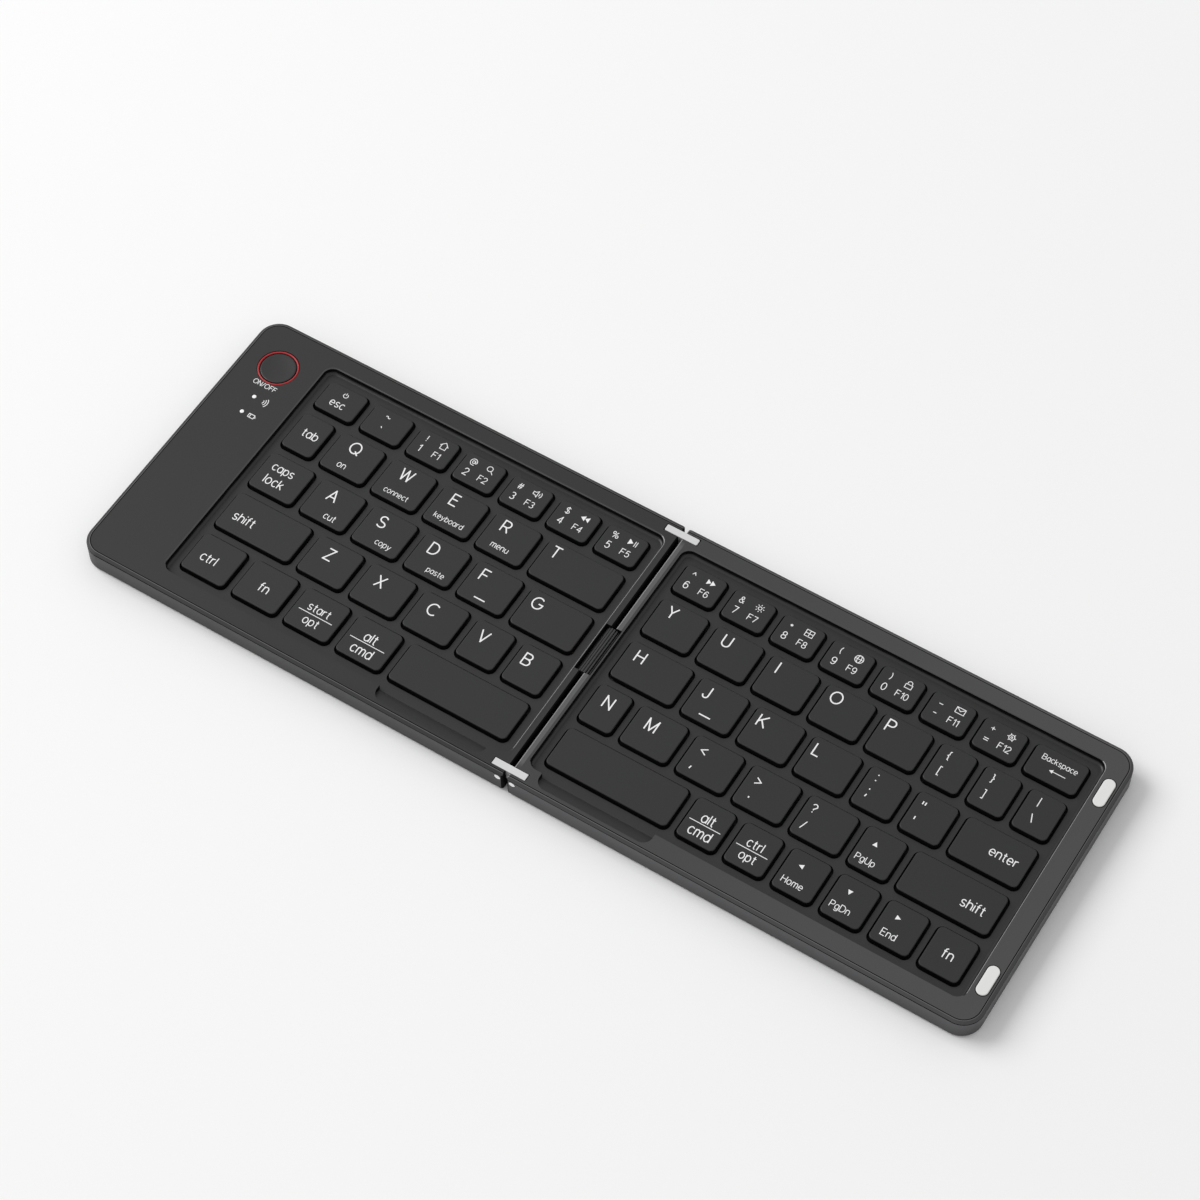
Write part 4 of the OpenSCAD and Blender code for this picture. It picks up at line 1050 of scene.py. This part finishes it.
for side in (1.0, -1.0):
    parts.append(moved(crossed, pivot, x=times(crossed, pivot_x, side)))
stand(crossed, given["Geometry"], step(crossed, "JoinGeometry", Geometry=parts), given["Finish"], made)

# Heights of the sheet's top, the dome's top and the cap's underside
SHEET_Z, DOME_Z, CAP_UNDER_Z = 2.7, 4.6, 6.55
SCISSOR_FOOT_Z, SCISSOR_TILT = 3.0, math.radians(17.67)
# A wide key has two scissors, a share of its width from its middle, clear of the walls inside the cap
WIDE_KEY, SCISSOR_SHARE, SCISSOR_W, SCISSOR_CLEAR = 24.0, 0.3, 8.4, 0.15
for half in HALVES:
    for layer, material in finishes.items():
        finish_node(half + "_" + layer, material)
    low, high = corners(half + "_dome_sheet")
    bm = moulding(half + "_dome_sheet")
    tops = [v.co.copy() for v in bm.verts if v.co.z > high.z - 0.01]
    bm.free()
    pillars = []
    for p in tops:
        near = [q for q in tops if (q - p).length < 2.5]
        centre = sum(near, Vector()) / len(near)
        if all((centre - c).length > 1 for c in pillars):
            pillars.append(centre)
    pillar_r = max((q - pillars[0]).length for q in tops if (q - pillars[0]).length < 2.5)
    bm = bmesh.new()
    size = Vector((high.x - low.x, high.y - low.y, SHEET_Z - low.z))
    bmesh.ops.create_cube(bm, size=1,
        matrix=Matrix.Translation((low + high) / 2) @ Matrix.Diagonal((*size, 1)))
    bmesh.ops.translate(bm, vec=(0, 0, (SHEET_Z - high.z) / 2), verts=bm.verts)
    upright = [e for e in bm.edges if abs(e.verts[0].co.z - e.verts[1].co.z) > 0.1]
    bmesh.ops.bevel(bm, geom=upright, offset=1.0, segments=4, profile=0.5, affect="EDGES")
    feet = [(c.x, c.y, SHEET_Z - 0.01) for c in pillars]
    bm.from_mesh(grow(domes, feet, Foot_Radius=pillar_r, Neck_Radius=pillar_r,
        Skirt_Height=(high.z - SHEET_Z) * 0.9,
        Neck_Height=(high.z - SHEET_Z) * 0.1, Finish=silicone))
    as_piece(bm, half + "_rubber_sheet", [silicone], half + "_half", "dome_rubber", half + "_dome_sheet")
for node in LEGENDS:
    boxes = islands(node)
    half = "left" if boxes[0][0].x < 0 else "right"
    middles = [(*middle_of(a, b), b.x - a.x) for a, b in boxes]
    bm = bmesh.new()
    skirt_h, neck_h = (DOME_Z - SHEET_Z) * 0.7, (DOME_Z - SHEET_Z) * 0.3
    bm.from_mesh(grow(domes, [(x, y, SHEET_Z) for x, y, w in middles], Skirt_Height=skirt_h,
        Neck_Height=neck_h, Finish=silicone))
    piece = as_piece(bm, node + "_domes", [silicone], half + "_half", "dome_rubber", half + "_dome_sheet")
    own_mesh(piece)
    places = []
    for x, y, w in middles:
        apart = min(SCISSOR_SHARE * w, w / 2 - WALL - SCISSOR_W / 2 - SCISSOR_CLEAR)
        for side in (-apart, apart) if w > WIDE_KEY else (0.0,):
            places.append((x + side, y, (SHEET_Z + CAP_UNDER_Z) / 2))
    bm = bmesh.new()
    bm.from_mesh(grow(crossed, places, Tilt=SCISSOR_TILT, Finish=scissor_plastic))
    piece = as_piece(bm, node + "_scissors", [scissor_plastic], half + "_half", "scissor_plastic",
        half + "_scissors")
    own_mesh(piece)

# Electronics of the left half: a flat pouch battery, the main board with its chip and switch, and a steel
# charging socket that opens in the back wall. Both halves hold magnets that keep the keyboard shut.
pouch, tree, surface, place = new_material("battery_pouch", Roughness=0.32)
creases = noise(tree, place, 160, 3)
edge = spread(tree, math_of(tree, "ABSOLUTE", axes_of(tree, place)["Y"]), 0, 1, 26 * MM, 26.5 * MM)
bump = tree.nodes.new("ShaderNodeBump")
bump.inputs["Distance"].default_value = 0.05 * MM
link_nodes(tree, (creases, bump.inputs["Height"]), (bump.outputs["Normal"], surface.inputs["Normal"]),
    (blend_of(tree, edge, (0.42, 0.43, 0.45), (0.5, 0.3, 0.05)), surface.inputs["Base Color"]),
    (spread(tree, creases, 0.2, 0.45), surface.inputs["Roughness"]),
    (spread(tree, edge, 0.85, 0.0, 0, 1), surface.inputs["Metallic"]))
finish_node("battery", pouch)

BOARD_TOP = 3.2
board, tree, surface, place = new_material("circuit_board", Roughness=0.35)
copper = tree.nodes.new("ShaderNodeTexVoronoi")
copper.feature = "DISTANCE_TO_EDGE"
copper.inputs["Scale"].default_value = 700
lacquer = blend_of(tree, spread(tree, copper.outputs["Distance"], 1, 0, 0.02, 0.06), (0.006, 0.05, 0.02),
    (0.03, 0.16, 0.06))
chips = spread(tree, axes_of(tree, place)["Z"], 0, 1, (BOARD_TOP + 0.02) * MM, (BOARD_TOP + 0.04) * MM)
link_nodes(tree, (place, copper.inputs["Vector"]),
    (blend_of(tree, chips, lacquer, (0.015, 0.015, 0.016)), surface.inputs["Base Color"]),
    (spread(tree, chips, 0.3, 0.5, 0, 1), surface.inputs["Roughness"]))
finish_node("main_board", board)
finish_node("charging_socket", metal("socket_steel", (0.66, 0.66, 0.67), 0.3, (3000.0, 60.0, 3000.0)))
nickel = metal("nickel_plate", (0.62, 0.61, 0.58), 0.22, (900.0, 900.0, 900.0), 0.001, 0.06)
for half in HALVES:
    finish_node(half + "_magnets", nickel)

# Button panel: the power button is a dished disc in half gloss plastic inside a red ring, and two
# lenses carry the light of the indicators to the face. Small printed signs name them.
BUTTON_R, BUTTON_STEM_R, BUTTON_FLANGE_R, DISH = 5.4, 1.8, 6.1, 0.25
LENS_R, LENS_STEM_R, LENS_FLANGE_R = 0.65, 0.62, 1.15
FLANGE_LOW, FLANGE_TOP = 6.3, 6.9
low, high = corners("power_button")
face = high.z + 0.1
x, y = middle_of(low, high)


def turned(bm, profile, x, y, sides=64):
    """A turned solid: the profile is (radius, Z) from its foot on the axis to its top on the axis."""
    turns = [2 * math.pi * i / sides for i in range(sides)]
    loops = [[bm.verts.new((x + r * math.cos(a), y + r * math.sin(a), z)) for a in turns] for r, z in profile]
    skin(bm, loops)
    close_ends(bm, loops)


profile = [(BUTTON_STEM_R, low.z), (BUTTON_STEM_R, FLANGE_LOW), (BUTTON_FLANGE_R, FLANGE_LOW)]
profile += [(BUTTON_FLANGE_R, FLANGE_TOP), (BUTTON_R, FLANGE_TOP), (BUTTON_R, face - 0.28)]
profile += [(BUTTON_R - 0.08, face - 0.16), (BUTTON_R - 0.25, face - 0.1)]
for i in range(8):
    share = 1 - i / 8
    profile.append(((BUTTON_R - 0.4) * share, face - 0.1 - DISH * (1 - share ** 2)))
bm = bmesh.new()
turned(bm, profile, x, y)
# Painted shade: the sides of the button take the near-black of the gaps.
paint(bm, 1, lambda p, n: abs(n.z) < 0.5)
as_piece(bm, "button", [grained("button_plastic", (0.014, 0.014, 0.0145), 0.36, 0.003,
    Specular_IOR_Level=0.4), painted_shade],
    "power_button", "button_plastic", "power_button")

ring_low, ring_high = corners("button_ring")
RING_W, RING_SECTION_R = 0.8, 0.3
middle, half_h = (ring_high.x - ring_low.x) / 2 - RING_W / 2, (ring_high.z - ring_low.z) / 2 - 0.01
bm = bmesh.new()
loops = []
for i in range(16):
    a = 2 * math.pi * i / 16
    r, z = middle + RING_SECTION_R * math.cos(a), ring_high.z - 0.01 - half_h * (1 - math.sin(a))
    turns = [2 * math.pi * k / 96 for k in range(96)]
    loops.append([bm.verts.new((x + r * math.cos(t), y + r * math.sin(t), z)) for t in turns])
skin(bm, loops + [loops[0]])
bmesh.ops.recalc_face_normals(bm, faces=bm.faces)
as_piece(bm, "red_ring", [grained("red_lacquer", (0.4, 0.02, 0.025), 0.34, 0.002)], "left_half",
    "ring_colour", "button_ring")

bm = bmesh.new()
for low, high in islands("indicator_lenses"):
    profile = [(LENS_STEM_R, low.z), (LENS_STEM_R, FLANGE_LOW), (LENS_FLANGE_R, FLANGE_LOW)]
    profile += [(LENS_FLANGE_R, FLANGE_TOP), (LENS_R, FLANGE_TOP), (LENS_R, high.z - 0.08)]
    turned(bm, profile + [(LENS_R - 0.1, high.z - 0.02), (0.3, high.z)], *middle_of(low, high), 32)
as_piece(bm, "lenses", [grained("lens_plastic", (0.95, 0.95, 0.95), 0.25, 0.001)], "left_half",
    "lens_plastic", "indicator_lenses")
bm = bmesh.new()
z = face + INK / 2
print_words(bm, "ON/OFF", -133.0, 26.4, None, 7.9, z, 0.1)
print_sign(bm, SIGNS["wave"], -129.6, 21.1, 2.5, z, 0.24)
print_sign(bm, SIGNS["battery"], -129.8, 15.0, 2.3, z, 0.24)
bmesh.ops.recalc_face_normals(bm, faces=bm.faces)
as_piece(bm, "panel_print", [ink], "left_half", "lens_plastic")

# Closing pads: two white silicone pads with round ends, glued into seats at the right end, where they
# hold the closed halves apart. A thin dark ring, in the near-black of the painted shade, lies round each.


def pad(bm, low, high, edge, radius, down=False):
    """A flat pad with round ends whose top edge, or bottom edge, is rounded."""
    x, y = middle_of(low, high)
    w, d = high.x - low.x, high.y - low.y
    steps = [(0, low.z)]
    for i in range(5):
        a = math.radians(90 * i / 4)
        steps.append((edge * (1 - math.cos(a)), high.z - edge * (1 - math.sin(a))))
    if down:
        steps = [(inset, low.z + high.z - z) for inset, z in reversed(steps)]
    loops = [ring(bm, x, y, w - 2 * inset, d - 2 * inset, radius - inset - 0.001, z, 10) for inset,
        z in steps]
    skin(bm, loops)
    close_ends(bm, loops)


DARK_RING_W, DARK_RING_LOW, DARK_RING_TOP, PAD_EDGE = 0.24, 7.6, 8.02, 0.3
pads, dark_ring = bmesh.new(), bmesh.new()
for low, high in islands("closing_pads"):
    pad(pads, low, high, PAD_EDGE, (high.x - low.x) / 2)
    wide = Vector((DARK_RING_W, DARK_RING_W, 0))
    dark_ring_low, dark_ring_high = Vector((*(low - wide).xy, DARK_RING_LOW)), Vector((*(high + wide).xy, DARK_RING_TOP))
    pad(dark_ring, dark_ring_low, dark_ring_high, 0.03, (high.x - low.x) / 2 + DARK_RING_W)
as_piece(pads, "white_pads", [grained("white_silicone", (0.75, 0.75, 0.74), 0.5, 0.004, 2200.0, 0.02)],
    "right_half", "pad_plastic", "closing_pads")
# A dark ring round each pad, in the near-black of the painted shade
as_piece(dark_ring, "pad_glue", [painted_shade], "right_half", "top_cover")

# Hinge bars: one link bar at the front and one at the back, satin white metal, each turning on two
# steel pins that are pressed into the halves from the front and back faces.
link_paint = grained("link_satin", (0.64, 0.64, 0.645), 0.38, 0.002, 2500.0, 0.03, Specular_IOR_Level=0.5)
for end, radius in (("front", 0.12), ("rear", 0.2)):
    low, high = corners(end + "_link")
    bm = moulding(end + "_link")
    if end == "rear":
        round_edges(bm, lambda a, b: abs(a.x - b.x) < 0.01 and abs(a.y - b.y) < 0.01 and abs(a.z - b.z) > 1,
            0.45, 4)
    round_edges(bm, lambda a, b: abs(a.z - high.z) < 0.01 and abs(b.z - high.z) < 0.01, radius)
    # Painted shade: the sides of the bar below its top edge are painted a darker grey.
    paint(bm, 1, lambda p, n: p.z < high.z - 0.35)
    as_piece(bm, end + "_bar", [link_paint, grained(end + "_bar_side", (0.3, 0.3, 0.3), 0.5)],
        "hinge_links", "link_metal", end + "_link")

# Hinge pins and case screws: turned steel with a chamfered head, the screws with a cross recess. The pins
# are pressed in from front and back, and the screws go up through the lower case into the cover.
pegs, given, made = new_tree("headed_pegs",
    [("Head Radius", 1.0), ("Head Height", 0.6), ("Chamfer", 0.1), ("Shank Radius", 0.5),
    ("Shank Length", 5.0), ("Cross Recess", False), ("Cross Width", 0.35), ("Turn", (0.0, 0.0, 0.0)),
    ("Finish", None)])
straight = math_of(pegs, "SUBTRACT", given["Head Height"], given["Chamfer"])
head = step(pegs, "MeshCylinder", Vertices=40, Radius=given["Head Radius"], Depth=straight)
head = moved(pegs, head, z=times(pegs, straight, 0.5))
crown = step(pegs, "MeshCone", Vertices=40, Radius_Bottom=given["Head Radius"], Depth=given["Chamfer"],
    Radius_Top=math_of(pegs, "SUBTRACT", given["Head Radius"], given["Chamfer"]))
crown = moved(pegs, crown, z=straight)
shank = step(pegs, "MeshCylinder", Vertices=32, Radius=given["Shank Radius"], Depth=given["Shank Length"])
shank = moved(pegs, shank, z=times(pegs, given["Shank Length"], -0.5))
arm = times(pegs, given["Head Radius"], 1.25)
bars = []
for a, b in ((arm, given["Cross Width"]), (given["Cross Width"], arm)):
    bars.append(step(pegs, "MeshCube", Size=vector_of(pegs, a, b, given["Head Height"])))
cross = moved(pegs, step(pegs, "JoinGeometry", Geometry=bars), z=given["Head Height"])
top = step(pegs, "JoinGeometry", Geometry=[head, crown])
top = step(pegs, "MergeByDistance", Geometry=top, Distance=0.0005)
cut = pegs.nodes.new("GeometryNodeMeshBoolean")
cut.operation = "DIFFERENCE"
link_nodes(pegs, (top, cut.inputs["Mesh 1"]), (cross, cut.inputs["Mesh 2"]))
choose = pegs.nodes.new("GeometryNodeSwitch")
choose.input_type = "GEOMETRY"
link_nodes(pegs, (given["Cross Recess"], choose.inputs["Switch"]), (top, choose.inputs["False"]),
    (cut.outputs["Mesh"], choose.inputs["True"]))
peg = step(pegs, "JoinGeometry", Geometry=[choose.outputs[0], shank])
stand(pegs, given["Geometry"], peg, given["Finish"], made, Rotation=given["Turn"])

# The pin heads are plated steel; their near-white, non-metal colour is a painted reflection of the pale
# floor.
pin_steel = grained("zinc_plated_pin", (0.86, 0.86, 0.87), 0.3, 0.001, 900.0, 0.04, Specular_IOR_Level=0.8)
screw_steel = metal("screw_steel", (0.3, 0.3, 0.31), 0.35, (1500.0, 1500.0, 1500.0), 0.001)
PIN_R, PIN_HEAD_R, PIN_HEAD_T = 0.65, 1.1, 0.5
SCREW_R, SCREW_HEAD_R, SCREW_HEAD_T = 0.6, 1.25, 0.7
for half in HALVES:
    bm = bmesh.new()
    for low, high in islands(half + "_hinge_pins"):
        front = low.y < 0
        seat = low.y + PIN_HEAD_T if front else high.y - PIN_HEAD_T
        where = Vector(((low.x + high.x) / 2, seat, (low.z + high.z) / 2))
        bm.from_mesh(grow(pegs, [where], Head_Radius=PIN_HEAD_R, Head_Height=PIN_HEAD_T, Chamfer=0.12,
            Shank_Radius=PIN_R,
            Shank_Length=high.y - low.y - PIN_HEAD_T, Turn=(QUARTER if front else -QUARTER, 0.0, 0.0),
            Finish=pin_steel))
    as_piece(bm, half + "_pins", [pin_steel], half + "_half", "pin_steel", half + "_hinge_pins")
    bm = bmesh.new()
    found = islands(half + "_screws")
    low, high = found[0]
    points = [(*middle_of(a, b), a.z + SCREW_HEAD_T) for a, b in found]
    bm.from_mesh(grow(pegs, points, Head_Radius=SCREW_HEAD_R, Head_Height=SCREW_HEAD_T, Chamfer=0.15,
        Shank_Radius=SCREW_R,
        Shank_Length=high.z - low.z - SCREW_HEAD_T, Cross_Recess=True, Cross_Width=0.4,
        Turn=(2 * QUARTER, 0.0, 0.0), Finish=screw_steel))
    as_piece(bm, half + "_case_screws", [screw_steel], half + "_half", "screw_steel", half + "_screws")

# Cable sleeve: a ribbed, half round boot of soft black rubber in the middle of the hinge. In the real boot
# its tabs are held in the two halves, so each side bends at its own row of pins; here each side is a straight
# piece, not bent.
sleeve_ribs, given, made = new_tree("ribs_on_an_arch",
    [("Count", 3), ("Arch Radius", 2.0), ("First Angle", 0.17), ("Angle Step", 0.35),
    ("Rib Radius", 0.36), ("Length", 16.0), ("Centre Height", 5.2), ("Finish", None)])
arch_r = given["Arch Radius"]
angle = times(sleeve_ribs, step(sleeve_ribs, "InputIndex"), given["Angle Step"])
angle = math_of(sleeve_ribs, "ADD", given["First Angle"], angle)
across, above = (times(sleeve_ribs, arch_r, math_of(sleeve_ribs, kind, angle)) for kind in ("SINE", "COSINE"))
spot = vector_of(sleeve_ribs, across, 0.0, math_of(sleeve_ribs, "ADD", given["Centre Height"], above))
row = step(sleeve_ribs, "SetPosition", Geometry=step(sleeve_ribs, "MeshLine", Count=given["Count"]),
    Position=spot)
rib = step(sleeve_ribs, "MeshCylinder", Vertices=20, Radius=given["Rib Radius"], Depth=given["Length"])
rib = step(sleeve_ribs, "Transform", Geometry=rib, Rotation=(QUARTER, 0.0, 0.0))
stand(sleeve_ribs, row, rib, given["Finish"], made)


def prism(bm, outline, y0, y1):
    """A solid of one X-Z outline from y0 to y1."""
    loops = [[bm.verts.new((x, y, z)) for x, z in outline] for y in (y0, y1)]
    skin(bm, loops)
    close_ends(bm, loops)


def bend_at_pins(piece, half, outer_x, inner_x, z):
    """Bakes the piece's place into its mesh; it does not bend it. The two distances from the middle of the
    hinge and z are not used.
    """
    if half == "left":
        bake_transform(piece)
    else:
        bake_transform(piece)


rubber = grained("sleeve_rubber", (0.016, 0.016, 0.017), 0.42, 0.004, 2500.0, 0.08, Specular_IOR_Level=0.5)
low, high = corners("cable_sleeve")
ARCH_R, RIB_R, TAB_T = 1.9, 0.4, 0.55
TAB_CUTS, SLEEVE_BEND, CABLE_BEND = [0, 1.2, 2.3, 3.4, 4.5], (4.2, 1.8), (6, 0.8)
centre_z = high.z - ARCH_R - RIB_R - 0.02
tab_top = low.z + TAB_T
for half, side in HALVES.items():
    bm = bmesh.new()
    along = TAB_CUTS + [high.x]
    arch = [(ARCH_R * math.sin(math.radians(a)), centre_z + ARCH_R * math.cos(math.radians(a)))
        for a in range(90, -1, -10)]
    prism(bm, [(side * x, z) for x, z in [(0, low.z), (ARCH_R, low.z)] + arch], low.y, high.y)
    prism(bm, [(side * x, low.z) for x in along] + [(side * x, tab_top) for x in reversed(along)],
        low.y + 1, high.y - 1)
    bm.from_mesh(grow(sleeve_ribs, [(0, 0, 0)], Count=3, Arch_Radius=ARCH_R,
        First_Angle=side * math.radians(12), Angle_Step=side * math.radians(25),
        Rib_Radius=RIB_R, Length=high.y - low.y, Centre_Height=centre_z, Finish=rubber))
    bmesh.ops.recalc_face_normals(bm, faces=bm.faces)
    boot = as_piece(bm, half + "_sleeve", [rubber], None, "sleeve_rubber", "cable_sleeve")
    bend_at_pins(boot, half, *SLEEVE_BEND, centre_z)

# Flat cable: a strip of thin flexible circuit under the sleeve that joins the two halves' electronics. In the
# real cable its ends are held in the halves and it bends at both rows of pins; here each side is a straight
# strip, not bent.
WIRES_PER_METRE, CABLE_T = 1500, 0.2
# Painted shade: the film is near-black, for the shade seen through the gaps between the keys, with faintly
# lighter lines for its wires.
flex, tree, surface, place = new_material("flex_circuit", Roughness=0.35)
wires = math_of(tree, "SINE", times(tree, axes_of(tree, place)["Y"], 2 * math.pi * WIRES_PER_METRE))
link_nodes(tree,
    (blend_of(tree, spread(tree, wires, 0, 1, -0.2, 0.2), (0.012, 0.01, 0.008), (0.03, 0.02, 0.01)),
    surface.inputs["Base Color"]),
    (spread(tree, wires, 0.3, 0.45, -0.2, 0.2), surface.inputs["Roughness"]))
low, high = corners("flex_cable")
for half, side in HALVES.items():
    bm = bmesh.new()
    along = [high.x * i / 12 for i in range(13)]
    prism(bm, [(side * x, high.z - CABLE_T) for x in along] + [(side * x, high.z) for x in reversed(along)],
        low.y, high.y)
    bmesh.ops.recalc_face_normals(bm, faces=bm.faces)
    strip = as_piece(bm, half + "_flex", [flex], None, "flex_film", "flex_cable")
    bend_at_pins(strip, half, *CABLE_BEND, high.z)

# Feet: four pads of black rubber under each half, moulded with rounded lower edges and glued into
# shallow seats in the lower case.
foot_rubber = grained("foot_rubber", (0.014, 0.014, 0.014), 0.7, 0.01, 2000.0, 0.12, Specular_IOR_Level=0.3)
for half in HALVES:
    bm = bmesh.new()
    for low, high in islands(half + "_feet"):
        pad(bm, low, high, 0.3, (high.y - low.y) / 2, down=True)
    as_piece(bm, half + "_rubber_feet", [foot_rubber], half + "_half", "foot_rubber", half + "_feet")
